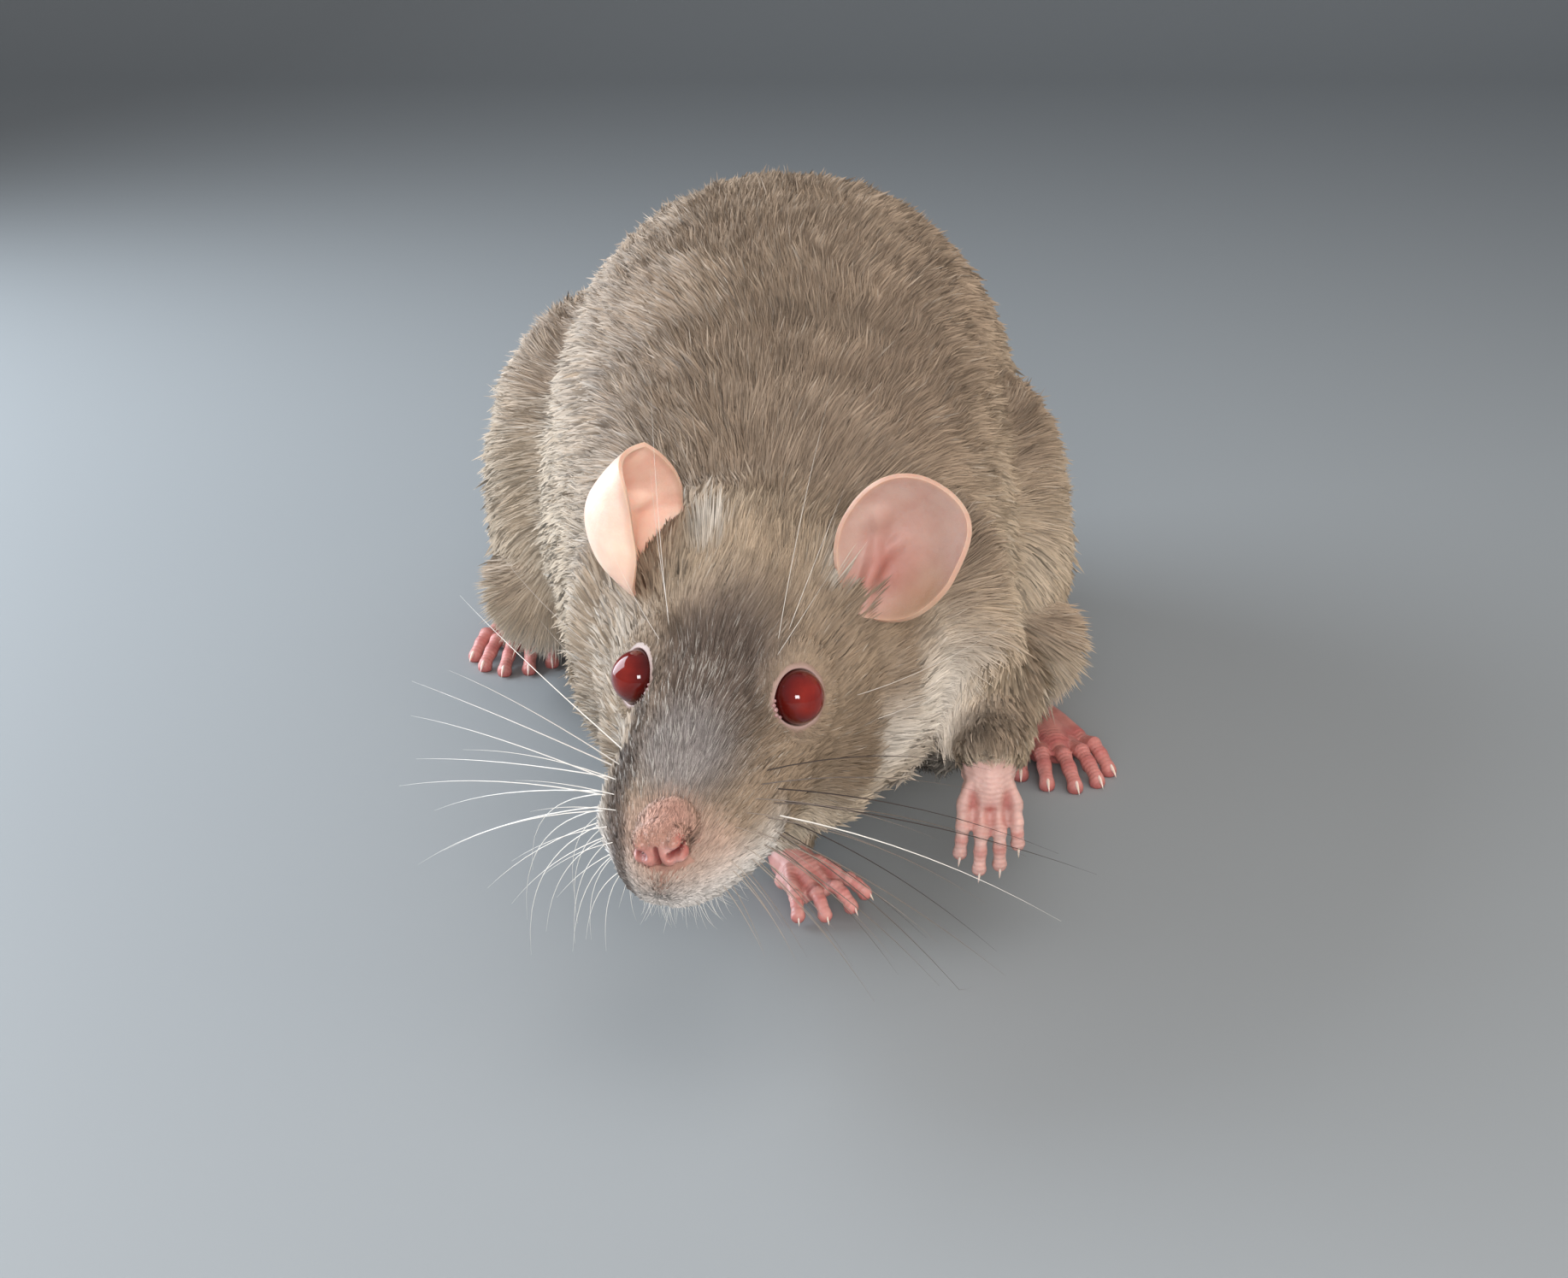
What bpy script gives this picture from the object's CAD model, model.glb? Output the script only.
# %% [markdown]
# # A life-size dumbo rat
# The rat stands in mid-stride with its head turned and lowered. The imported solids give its
# size and its forms. This lesson dresses them: one skin under the fur, a coat of thin mesh
# tufts that follow the lie of the hair, and then the naked parts, which are the eyes, lids,
# nose, ears, paws and tail, and last the whiskers.

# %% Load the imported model
import math

import bmesh
import bpy
import numpy as np
from mathutils import Matrix, Vector
from mathutils.bvhtree import BVHTree
from mathutils.kdtree import KDTree


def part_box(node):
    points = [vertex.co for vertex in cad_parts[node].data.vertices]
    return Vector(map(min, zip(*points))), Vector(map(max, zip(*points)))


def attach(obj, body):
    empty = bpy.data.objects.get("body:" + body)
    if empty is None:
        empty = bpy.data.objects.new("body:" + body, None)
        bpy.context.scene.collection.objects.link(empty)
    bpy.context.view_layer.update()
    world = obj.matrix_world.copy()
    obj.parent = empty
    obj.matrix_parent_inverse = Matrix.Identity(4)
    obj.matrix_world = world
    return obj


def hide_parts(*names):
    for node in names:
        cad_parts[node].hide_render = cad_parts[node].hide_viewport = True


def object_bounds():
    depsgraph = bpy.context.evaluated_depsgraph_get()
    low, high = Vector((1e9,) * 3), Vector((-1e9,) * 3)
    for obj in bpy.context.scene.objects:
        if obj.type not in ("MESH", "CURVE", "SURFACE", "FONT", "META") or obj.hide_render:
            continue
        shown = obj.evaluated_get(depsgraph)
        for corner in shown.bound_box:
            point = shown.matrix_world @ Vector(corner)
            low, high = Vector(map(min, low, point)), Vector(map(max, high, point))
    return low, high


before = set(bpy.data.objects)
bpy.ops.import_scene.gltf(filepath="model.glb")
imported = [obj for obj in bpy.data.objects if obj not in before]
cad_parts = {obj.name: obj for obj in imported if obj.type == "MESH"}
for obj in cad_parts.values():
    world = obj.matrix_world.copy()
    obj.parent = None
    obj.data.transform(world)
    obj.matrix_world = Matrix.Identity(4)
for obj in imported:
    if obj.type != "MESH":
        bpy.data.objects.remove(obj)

cad_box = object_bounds()
print("solids:", len(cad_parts), "box:", [tuple(round(v, 4) for v in corner) for corner in cad_box])

# %% [markdown]
# ## A workshop frame in millimetres
# Small things are easier to place in millimetres than in metres. The head also gets axes of
# its own: X runs ahead to the nose, Y to the rat's left and Z up, from a point midway
# between the eyes. The eyeballs of the solids say where that frame lies.

# %% The frames
MM = 0.001
RIGHT, LEFT = -1, 1
WORD = {RIGHT: "right", LEFT: "left"}
EYE_RADIUS = 3.4
EYE_SPOT = (0.6, 9.9, 0.2)
EYE_WAY = (0.53, 0.74, 0.42)
BETWEEN_EYES = (-8.0, -62.5, 42.5)
HEAD_POSE = (("Z", -13), ("Y", 15), ("X", -3))
HEAD = Matrix.Translation(BETWEEN_EYES) @ Matrix(((0, 1, 0, 0), (-1, 0, 0, 0), (0, 0, 1, 0), (0, 0, 0, 1)))
for axis, degrees in HEAD_POSE:
    HEAD = HEAD @ Matrix.Rotation(math.radians(degrees), 4, axis)
HEAD_TURN = np.array(HEAD.to_3x3())
HEAD_ORIGIN = np.array(HEAD.translation)


def box_middle(node):
    low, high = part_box(node)
    return (low + high) / 2


def eye_spot(side):
    """The middle of an eyeball in workshop millimetres."""
    ahead, left, up = EYE_SPOT
    return np.array(HEAD @ Vector((ahead, left * side, up)))


SHIFT = np.array(box_middle("eye_right") - Vector(eye_spot(RIGHT)) * MM)


def place(points):
    """Workshop millimetres to metres in the model's frame."""
    return np.asarray(points, float) * MM + SHIFT


def workshop(points):
    """Metres in the model's frame to workshop millimetres."""
    return (np.asarray(points, float) - SHIFT) / MM


def to_head(points):
    return (points - HEAD_ORIGIN) @ HEAD_TURN


def from_head(points):
    return np.asarray(points, float) @ HEAD_TURN.T + HEAD_ORIGIN


print("shift of the workshop frame in mm:", np.round(SHIFT / MM, 3))

# %% [markdown]
# ## Camera, floor and light
# The camera stands a little above the rat and looks down on it by 20 degrees, with a long
# lens. The light is a soft studio set: a wide window-like panel at the viewer's left gives
# the bright rim, a large panel above fills the coat, and a small lamp beside the camera
# leaves the spark in the eye.

# %% Camera
CAMERA_SPOT = (0, -355, 155)
LOOKS_DOWN = 20
FOCAL_PIXELS, PICTURE_WIDTH = 3000, 1834
FILM_WIDTH = 36
scene = bpy.context.scene
camera = bpy.data.objects.new("Camera", bpy.data.cameras.new("Camera"))
scene.collection.objects.link(camera)
camera.location = place(CAMERA_SPOT)
camera.rotation_euler = (math.radians(90 - LOOKS_DOWN), 0, 0)
camera.data.sensor_width = FILM_WIDTH
camera.data.lens = FOCAL_PIXELS / PICTURE_WIDTH * FILM_WIDTH
camera.data.clip_start = 0.01
scene.camera = camera
print("lens:", round(camera.data.lens, 2), "mm")


# %% Node helpers
def add_node(tree, kind, **values):
    """A node with its properties or inputs set by name."""
    node = tree.nodes.new(kind)
    for key, value in values.items():
        if hasattr(node, key):
            setattr(node, key, value)
        else:
            node.inputs[key.replace("_", " ")].default_value = value
    return node


def shader_of(name, **looks):
    """A new material, its node tree and its Principled shader with some inputs set by name."""
    made = bpy.data.materials.new(name)
    made.use_nodes = True
    shader = made.node_tree.nodes["Principled BSDF"]
    for key, value in looks.items():
        shader.inputs[key.replace("_", " ")].default_value = value
    return made, made.node_tree, shader


def grain(tree, scale, detail):
    """Noise on the piece's own coordinates, in cells per metre."""
    noise = add_node(tree, "ShaderNodeTexNoise", Scale=scale, Detail=detail)
    tree.links.new(add_node(tree, "ShaderNodeTexCoord").outputs["Object"], noise.inputs["Vector"])
    return noise.outputs["Fac"]


def flake_cells(tree, scale, feature="F1"):
    """Cells on the piece's own coordinates: each point's distance to the middle of its cell."""
    cells = add_node(tree, "ShaderNodeTexVoronoi", feature=feature, Scale=scale)
    tree.links.new(add_node(tree, "ShaderNodeTexCoord").outputs["Object"], cells.inputs["Vector"])
    return cells.outputs["Distance"]


def painted(tree, layer="coat"):
    """The colours that a piece's own points carry."""
    return add_node(tree, "ShaderNodeVertexColor", layer_name=layer).outputs["Color"]


def ramp(tree, source, stops):
    """A colour ramp through stops of (place, linear colour or grey)."""
    node = add_node(tree, "ShaderNodeValToRGB")
    while len(node.color_ramp.elements) < len(stops):
        node.color_ramp.elements.new(0.5)
    for element, (spot, colour) in zip(node.color_ramp.elements, stops):
        element.position = spot
        element.color = (*((colour,) * 3 if isinstance(colour, float) else colour), 1)
    tree.links.new(source, node.inputs["Fac"])
    return node.outputs["Color"]


def tint(tree, shader, tone, pattern, share, stops):
    """Colours a shader with a tone that a pattern dims through a ramp."""
    mix = add_node(tree, "ShaderNodeMix", data_type="RGBA", blend_type="MULTIPLY")
    mix.inputs[0].default_value = share
    tree.links.new(tone, mix.inputs[6])
    tree.links.new(ramp(tree, pattern, stops), mix.inputs[7])
    tree.links.new(mix.outputs[2], shader.inputs["Base Color"])


def bump(tree, shader, source, strength, distance):
    node = add_node(tree, "ShaderNodeBump", Strength=strength, Distance=distance)
    tree.links.new(source, node.inputs["Height"])
    tree.links.new(node.outputs["Normal"], shader.inputs["Normal"])


def rgb(red, green, blue):
    """A display colour of 0 to 255 as linear light."""
    parts = [c / 255 for c in (red, green, blue)]
    return np.array([c / 12.92 if c <= 0.04045 else ((c + 0.055) / 1.055) ** 2.4 for c in parts])


# %% Floor and backdrop
FRONT_EDGE = -1.2
BACK_WALL, WALL_HEIGHT, WALL_BEND, HALF_WIDTH = 1.1, 1.6, 0.4, 1.6
BEND_STEPS = 12


def sweep():
    """A studio sweep in metres: a floor that curves up into a wall behind the rat."""
    profile = [(FRONT_EDGE, 0.0), (BACK_WALL - WALL_BEND, 0.0)]
    for step in range(1, BEND_STEPS + 1):
        angle = math.radians(90) * step / BEND_STEPS
        ahead = BACK_WALL - WALL_BEND + WALL_BEND * math.sin(angle)
        profile.append((ahead, WALL_BEND - WALL_BEND * math.cos(angle)))
    profile.append((BACK_WALL, WALL_HEIGHT))
    mesh = bpy.data.meshes.new("floor")
    verts = [(side * HALF_WIDTH, y, z) for y, z in profile for side in (-1, 1)]
    faces = [(2 * i, 2 * i + 1, 2 * i + 3, 2 * i + 2) for i in range(len(profile) - 1)]
    mesh.from_pydata(verts, [], faces)
    mesh.shade_smooth()
    return mesh


floor = bpy.data.objects.new("floor", sweep())
scene.collection.objects.link(floor)
floor.data.materials.append(shader_of("studio paper", Roughness=0.6, Base_Color=(*rgb(144, 147, 149), 1))[0])

# %% Lights
# Each soft square light has its spot and its aim in workshop millimetres, its size in metres,
# its power and colour, and whether glossy things mirror it.
LIGHTS = {
    "window": ((-420, 150, 190), (-10, 0, 30), 0.46, 4.6, (0.88, 0.97, 1.06), True),
    "overhead": ((120, -60, 620), (0, 20, 30), 0.60, 1.5, (1.0, 0.985, 0.96), False),
    "front": ((20, -560, 170), (0, -20, 35), 0.34, 1.7, (1.0, 0.97, 0.94), False),
    "warm wall": ((430, -150, 150), (10, -20, 30), 0.36, 0.8, (1.0, 0.86, 0.68), False),
    "spark": ((0, -425, 184), (-5, -60, 40), 0.09, 0.55, (1, 1, 1), True),
}
SKY, SKY_STRENGTH = (0.86, 0.90, 0.96, 1), 0.36
for name, (spot, aim, size, power, colour, mirrored) in LIGHTS.items():
    data = bpy.data.lights.new(name, "AREA")
    data.size = size
    data.energy = power
    data.color = colour
    lamp = bpy.data.objects.new(name, data)
    scene.collection.objects.link(lamp)
    lamp.location = place(spot)
    lamp.rotation_euler = (Vector(spot) - Vector(aim)).to_track_quat("Z", "Y").to_euler()
    lamp.visible_glossy = mirrored
world = bpy.data.worlds.new("studio")
world.use_nodes = True
world.node_tree.nodes["Background"].inputs["Color"].default_value = SKY
world.node_tree.nodes["Background"].inputs["Strength"].default_value = SKY_STRENGTH
scene.world = world
scene.view_settings.view_transform = "Standard"

# %% [markdown]
# ## The skin
# Real fur grows from one skin without a seam, so the parted flesh of the solids is joined
# again: copies of the nodes are swollen until they touch, remeshed as one volume, and
# smoothed without shrinking. Then the skin is let in by the depth of the coat, so that the
# tips of the fur come back to the outline of the solids.

# %% Join the flesh
FLESH = (
    "head", "neck", "torso", "foreleg_right", "foreleg_left", "hindleg_right", "hindleg_left",
)
SKIN_VOXEL = 0.85 * MM
SWELL = 0.3


def applied(obj):
    """Bakes an object's modifiers into its mesh."""
    bpy.context.view_layer.update()
    graph = bpy.context.evaluated_depsgraph_get()
    mesh = bpy.data.meshes.new_from_object(obj.evaluated_get(graph))
    obj.modifiers.clear()
    obj.data = mesh
    return obj


def new_object(name, mesh):
    obj = bpy.data.objects.new(name, mesh)
    scene.collection.objects.link(obj)
    return obj


def mesh_of(bm, name, face_out=False):
    """The mesh of a bmesh, which is freed, with its faces turned outwards where asked."""
    if face_out:
        bmesh.ops.recalc_face_normals(bm, faces=bm.faces)
    mesh = bpy.data.meshes.new(name)
    bm.to_mesh(mesh)
    bm.free()
    return mesh


def merged_nodes(names, swell):
    """Copies of CAD nodes in one mesh, merged and moved out along their normals."""
    bm = bmesh.new()
    for name in names:
        bm.from_mesh(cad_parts[name].data)
    bmesh.ops.remove_doubles(bm, verts=bm.verts, dist=0.003 * MM)
    bm.normal_update()
    for vert in bm.verts:
        vert.co += vert.normal * swell * MM
    return mesh_of(bm, "merged")


def remeshed(mesh, voxel, name):
    obj = new_object(name, mesh)
    step = obj.modifiers.new("Fuse", "REMESH")
    step.mode = "VOXEL"
    step.voxel_size = voxel
    return applied(obj)


def read_vectors(source, field):
    """The vectors of a mesh's points or normals as an array."""
    out = np.empty(len(source) * 3)
    source.foreach_get(field, out)
    return out.reshape(-1, 3)


def read_points(mesh):
    return read_vectors(mesh.vertices, "co")


def read_normals(mesh):
    return read_vectors(mesh.vertex_normals, "vector")


def write_points(mesh, co):
    mesh.vertices.foreach_set("co", np.ascontiguousarray(co, dtype=np.float32).ravel())
    mesh.update()


skin = remeshed(merged_nodes(FLESH, SWELL), SKIN_VOXEL, "skin")
print("skin faces:", len(skin.data.polygons))


# %% Smooth it without shrinking
PULL_IN, PUSH_OUT = 0.5, -0.53


def relax(mesh, rounds):
    """Averages each point with its neighbours, inwards and outwards by turns."""
    pairs = np.empty(len(mesh.edges) * 2, dtype=np.int32)
    mesh.edges.foreach_get("vertices", pairs)
    first, second = pairs[::2], pairs[1::2]
    co = read_points(mesh)
    count = len(co)
    links = np.bincount(first, minlength=count) + np.bincount(second, minlength=count)
    links = np.maximum(links, 1)[:, None]
    for turn in range(rounds * 2):
        total = np.empty_like(co)
        for axis in range(3):
            total[:, axis] = np.bincount(first, co[second, axis], count)
            total[:, axis] += np.bincount(second, co[first, axis], count)
        co += (total / links - co) * (PUSH_OUT if turn % 2 else PULL_IN)
    write_points(mesh, co)


SMOOTHINGS, LATER_SMOOTHINGS = 16, 2
relax(skin.data, SMOOTHINGS)


def finer_where(mesh, chosen):
    """Splits the edges whose both ends are chosen, and fills the faces between them."""
    bm = bmesh.new()
    bm.from_mesh(mesh)
    edges = [edge for edge in bm.edges if all(chosen[vert.index] for vert in edge.verts)]
    bmesh.ops.subdivide_edges(bm, edges=edges, cuts=1, use_grid_fill=True)
    bmesh.ops.triangulate(bm, faces=[face for face in bm.faces if len(face.verts) > 4])
    bm.to_mesh(mesh)
    bm.free()


FINE_MUZZLE = (4, 14, -22)
FINE_EYE = 8
skin_spots = workshop(read_points(skin.data))
ahead, left, up = to_head(skin_spots).T
fine = (ahead > FINE_MUZZLE[0]) & (np.abs(left) < FINE_MUZZLE[1]) & (up > FINE_MUZZLE[2])
for side in (RIGHT, LEFT):
    fine |= np.linalg.norm(skin_spots - eye_spot(side), axis=1) < FINE_EYE
finer_where(skin.data, fine)
relax(skin.data, LATER_SMOOTHINGS)
print("skin smoothed, faces:", len(skin.data.polygons))

# %% [markdown]
# ## Where everything is on the rat
# The coat changes over the body: it is long on the back and very short round the nose, it
# runs back from the nose over the head and down the legs, and it is dark between the eyes
# and pale on the belly. These rules read a point's place and give its length, its lie and
# its colour. The skin and the coat both use them, so they carry the same markings.

# %% Limbs
# The lower half of each limb runs from its elbow or knee to its wrist or heel. It has all of
# its own lie within the first distance of LIMB_REACH, and none of it past the second.
LIMBS = {
    "foreleg_right": ((-14, -8, 18), (0.5, -30, 8.5)),
    "foreleg_left": ((29, -10, 25), (27, -42, 25)),
    "hindleg_right": ((-39, 44, 18), (-42, 87, 8)),
    "hindleg_left": ((36, 18, 18), (37, 37, 8)),
}
LIMB_REACH = {"foreleg": (9.5, 16.0), "hindleg": (13.0, 22.0)}


def smoothstep(low, high, value):
    t = np.clip((value - low) / (high - low), 0, 1)
    return t * t * (3 - 2 * t)


def unit(vectors):
    return vectors / np.maximum(np.linalg.norm(vectors, axis=-1, keepdims=True), 1e-9)


def on_segment(points, start, stop):
    """Distance to a segment, and the share of the way along it."""
    start, stop = np.array(start, float), np.array(stop, float)
    way = stop - start
    t = (points - start) @ way / (way @ way)
    near = np.clip(t, 0, 1)[:, None]
    return np.linalg.norm(points - start - near * way, axis=1), np.clip(t, 0, 1.6)


def path_gap(points, path):
    """Distance to the nearest piece of a path."""
    return np.min([on_segment(points, start, stop)[0] for start, stop in zip(path, path[1:])], axis=0)


def limb_reading(points):
    """How near each point is to a lower limb, how far down it lies, and its heading."""
    near = np.zeros(len(points))
    down = np.zeros(len(points))
    way = np.zeros((len(points), 3))
    for name, (bend, end) in LIMBS.items():
        distance, t = on_segment(points, bend, end)
        closeness = 1 - smoothstep(*LIMB_REACH[name.split("_")[0]], distance)
        better = closeness > near
        near = np.where(better, closeness, near)
        down = np.where(better, t, down)
        heading = unit(np.array(end, float) - np.array(bend, float))
        way = np.where(better[:, None], heading, way)
    return near, down, way


# %% Readings of each point
# Whitish tufts stand before the inner edge of each ear, and fur hides the ears' feet, at
# these places of the head. The raised hand starts at RAISED_WRIST and hangs along its way.
# The tail comes out of the rump along the line from TAIL_START to TAIL_LEAVES. FAR stands
# for the distance of points that a rule doesn't concern. The head begins over the length of
# NAPE and ends where the distance to its axis passes HEAD_GIRTH.
EAR_TUFTS = {RIGHT: (-16.5, -5.2, 9.4), LEFT: (-16.0, 11.0, 6.6)}
EAR_FEET = ((-12.6, -13.6, 2.5), (-14.0, 13.6, 3.0), (-17.0, 16.6, 0.5))
RAISED_WRIST = (27, -43.2, 24.4)
RAISED_WAY = (0.0, -0.42, -0.9)
HAND_REACH = 8
TAIL_START, TAIL_LEAVES = (3.2, 106, 31), (3.2, 122, 17)
RUMP = 100
FAR = 99.0
NAPE, HEAD_GIRTH, HEAD_AXIS = (-36, -24), (24, 30), (0, -8)
EAR_TUFT_REACH = (1.5, 4.5)


def reading(co, normals):
    """Everything the coat's rules need to know about points on the skin."""
    points = workshop(co)
    head = to_head(points)
    near, down, way = limb_reading(points)
    off_axis = np.linalg.norm(head[:, 1:] - np.array(HEAD_AXIS), axis=1)
    is_head = smoothstep(*NAPE, head[:, 0]) * (1 - smoothstep(*HEAD_GIRTH, off_axis))
    eye_gaps = [np.linalg.norm(points - eye_spot(side), axis=1) for side in (RIGHT, LEFT)]
    ear_front = np.zeros(len(points))
    for spot in EAR_FEET + tuple(EAR_TUFTS.values()):
        gap = np.linalg.norm(head - np.array(spot), axis=1)
        ear_front = np.maximum(ear_front, 1 - smoothstep(*EAR_TUFT_REACH, gap))
    wrist_way = unit(np.array(RAISED_WAY))
    from_wrist = points - np.array(RAISED_WRIST)
    past_wrist = from_wrist @ wrist_way
    beside = np.linalg.norm(from_wrist - np.outer(past_wrist, wrist_way), axis=1)
    tail_gap = on_segment(points, TAIL_START, TAIL_LEAVES)[0]
    return {
        "at": points, "head": head, "normal": normals, "near_limb": near * (1 - is_head),
        "down": down, "limb_way": way, "is_head": is_head, "eye_gap": np.min(eye_gaps, axis=0),
        "ear_front": ear_front, "past_wrist": np.where(beside < HAND_REACH, past_wrist, -FAR),
        "tail_gap": np.where(points[:, 1] > RUMP, tail_gap, FAR),
    }


# %% Depth, length and lie of the coat
# The tables give a depth or a length for places along the head, or for shares of a limb.
NOSE_CENTRE, NOSE_RADII = (29, 0, -2), (5.5, 4.6, 4.2)
DEPTH_ON_HEAD = ((-36, 2.0), (-20, 1.4), (-8, 0.9), (4, 0.65), (18, 0.5), (25, 0.3), (30, 0.1))
DEPTH_ON_LIMB = ((0, 1.7), (0.6, 1.3), (0.95, 0.8), (1.2, 0.5))
BODY_DEPTH, CUFF_DEPTH, LEATHER_DEPTH = 2.2, 1.6, 0.7
LENGTH_ON_HEAD = (
    (-36, 6.6), (-22, 5.6), (-12, 4.8), (-2, 3.6), (8, 2.9), (18, 2.3), (25, 1.5), (29, 0.9),
)
LENGTH_ON_LIMB = ((0, 7.0), (0.6, 5.0), (0.95, 3.4), (1.2, 2.2))
BODY_LENGTH, EAR_TUFT_LENGTH = 7.2, 2.2
SHORTEST_BY_TAIL, SHORTEST_BY_LIDS = 0.4, 0.38
BODY_LIE, LIMB_DROOP, FACE_DROOP = (0.0, 1.0, -0.5), (0, 0, -0.5), 0.12
LIE_STARTS = (31, 0, -9)
SWAY, TAIL_LIE, LID_LIE = 0.10, (6.0, 14.0), (4.0, 7.0)


def by_table(values, table):
    keys, results = zip(*table)
    return np.interp(values, keys, results)


def nose_reach(head):
    """1 on an ellipsoid that holds the nose leather, less inside it and more outside."""
    return np.linalg.norm((head - np.array(NOSE_CENTRE)) / np.array(NOSE_RADII), axis=1)


def on_the_form(at, body, head_table, limb_table):
    """A value of the body that tables change on the head and the lower limbs."""
    value = np.full(len(at["at"]), body)
    value += (by_table(at["head"][:, 0], head_table) - value) * at["is_head"]
    value += (by_table(at["down"], limb_table) - value) * at["near_limb"]
    return value


def coat_depth(at):
    depth = on_the_form(at, BODY_DEPTH, DEPTH_ON_HEAD, DEPTH_ON_LIMB)
    leather = 1 - smoothstep(0.35, 0.6, nose_reach(at["head"]))
    return depth + CUFF_DEPTH * smoothstep(-1.5, 1.5, at["past_wrist"]) + LEATHER_DEPTH * leather


def coat_length(at):
    length = on_the_form(at, BODY_LENGTH, LENGTH_ON_HEAD, LENGTH_ON_LIMB)
    length = length + EAR_TUFT_LENGTH * at["ear_front"]
    for gap, edge, least in (
        ("tail_gap", (5.0, 11.0), SHORTEST_BY_TAIL), ("eye_gap", (4.0, 8.0), SHORTEST_BY_LIDS),
    ):
        length = length * (least + (1 - least) * smoothstep(*edge, at[gap]))
    return length


def coat_lie(at):
    """The heading of the hair: back from the nose, back and down the body, down the legs."""
    points, is_head = at["at"], at["is_head"][:, None]
    body = np.tile(np.array(BODY_LIE), (len(points), 1))
    body[:, 0] += SWAY * np.sin(points[:, 1] * 0.07 + points[:, 2] * 0.05)
    from_nose = unit(points - from_head([LIE_STARTS])[0])
    from_nose[:, 2] -= FACE_DROOP
    lie = unit(body) * (1 - is_head) + from_nose * is_head
    lie += (at["limb_way"] + np.array(LIMB_DROOP) - lie) * at["near_limb"][:, None]
    tail_way = unit(np.array(TAIL_LEAVES, float) - TAIL_START)
    lie += (tail_way - lie) * (1 - smoothstep(*TAIL_LIE, at["tail_gap"]))[:, None]
    for side in (RIGHT, LEFT):
        away = points - eye_spot(side)
        close = 1 - smoothstep(*LID_LIE, np.linalg.norm(away, axis=1))
        lie += unit(away) * close[:, None] * 0.9
    lie -= at["normal"] * np.sum(lie * at["normal"], axis=1, keepdims=True)
    return unit(lie)


# %% Markings
TAUPE = rgb(167, 146, 126)
FACE_GREY = rgb(106, 91, 82)
SLATE = rgb(152, 144, 141)
CROWN = rgb(184, 163, 140)
BEIGE = rgb(206, 188, 166)
CHEEK = rgb(152, 131, 110)
MUZZLE = rgb(192, 162, 145)
BLUSH = rgb(205, 156, 140)
OLIVE = rgb(118, 101, 83)
CREAM = rgb(224, 214, 202)
LIP_WHITE = rgb(238, 233, 228)
PINKISH = rgb(214, 172, 158)
BROW_STRIPE = ((2.5, -8.6, 2.4), (19.0, -6.4, -1.5))
DARK_BAND = ((16, -8.8, -1.5), (23, -8.0, -4.0), (26.8, -6.2, -6.5), (28.0, -4.8, -9.5))
WAVE_COUNT = 7


def waves(points, size, seed):
    """Smooth mottling about 0: a few plane waves with fixed random headings."""
    rng = np.random.default_rng(seed)
    total = np.zeros(len(points))
    pace = 2 * math.pi / size
    for _ in range(WAVE_COUNT):
        heading = unit(rng.normal(size=3))
        total += np.sin(points @ heading * pace * rng.uniform(0.6, 1.5) + rng.uniform(0, 6.3))
    return total / WAVE_COUNT**0.5 / 1.2


def toward(colours, target, share):
    return colours + (target - colours) * np.clip(share, 0, 1)[:, None]


def blob(points, centre, radii):
    """1 at a centre in the head's frame, falling off smoothly to 0 outside the radii."""
    reach = np.linalg.norm((points - np.array(centre)) / np.array(radii), axis=1)
    return 1 - smoothstep(0.35, 1.15, reach)


def markings(at):
    """The coat's colour at each point: washes of colour, each with its share, laid in turn."""
    points, head, face = at["at"], at["head"], at["is_head"]
    ahead, left, up = head.T
    level = at["normal"][:, 2]
    under = smoothstep(0.05, -0.75, level)
    jaw = smoothstep(-8, -16, up) * smoothstep(2, 9, left) * smoothstep(-6, -14, ahead)
    tufts = [(CREAM, face * 0.75 * blob(head, spot, (3.4, 2.6, 4))) for spot in EAR_TUFTS.values()]
    stripe = smoothstep(2.2, 0.8, on_segment(head, *BROW_STRIPE)[0])
    throat = smoothstep(-9, -17, up) * smoothstep(-0.1, -0.7, level)
    lips = smoothstep(-4, -10, up) * smoothstep(10, 20, ahead)
    band = smoothstep(3.6, 1.4, path_gap(head, DARK_BAND))
    washes = (
        (BEIGE, 0.75 * smoothstep(0.75, 0.1, level)),
        (CREAM, under * smoothstep(34, 10, points[:, 2])),
        (CHEEK, face * (0.5 + 0.35 * smoothstep(-9, 0, left))),
        (CROWN, face * blob(head, (-14, 0, 8), (22, 14, 16))),
        (FACE_GREY, face * 0.9 * blob(head, (3.3, 0, 5), (16.5, 10.5, 11))),
        (SLATE, face * blob(head, (16, -0.5, 1), (8.8, 7.5, 7)) * 0.9),
        (MUZZLE, face * smoothstep(20, 25.5, ahead) * 0.9),
        (OLIVE, face * 0.75 * blob(head, (-4, 13, -14.5), (12, 7.5, 14))),
        (CREAM, blob(head, (-27, 18, -17), (14, 14, 12)) * 0.5),
        (CREAM, face * jaw * 0.9),
        *tufts,
        (FACE_GREY * 0.7, face * stripe * 0.8),
        (BEIGE, face * throat),
        (LIP_WHITE, face * lips * 0.8),
        (FACE_GREY * 0.75, face * band * 0.9),
        (BLUSH, face * blob(head, (27.5, 0.4, 0.3), (6.5, 5.2, 5)) * 0.75),
        (PINKISH, at["near_limb"] * smoothstep(1.1, 1.35, at["down"]) * 0.6),
    )
    colours = np.tile(TAUPE, (len(points), 1))
    for wash, share in washes:
        colours = toward(colours, wash, share)
    mottle = 0.09 * waves(points, 16, 3) + 0.06 * waves(points, 6, 4)
    return colours * (1 + mottle[:, None])


# %% Let the skin in and colour it
def colour_points(mesh, colours, name="coat"):
    layer = mesh.color_attributes.new(name, "FLOAT_COLOR", "POINT")
    values = np.ones((len(colours), 4), dtype=np.float32)
    values[:, :3] = np.clip(colours, 0, 1)
    layer.data.foreach_set("color", values.ravel())


skin_at = reading(read_points(skin.data), read_normals(skin.data))
inset = coat_depth(skin_at) + SWELL
write_points(skin.data, read_points(skin.data) - skin_at["normal"] * inset[:, None] * MM)
relax(skin.data, LATER_SMOOTHINGS)


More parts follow.
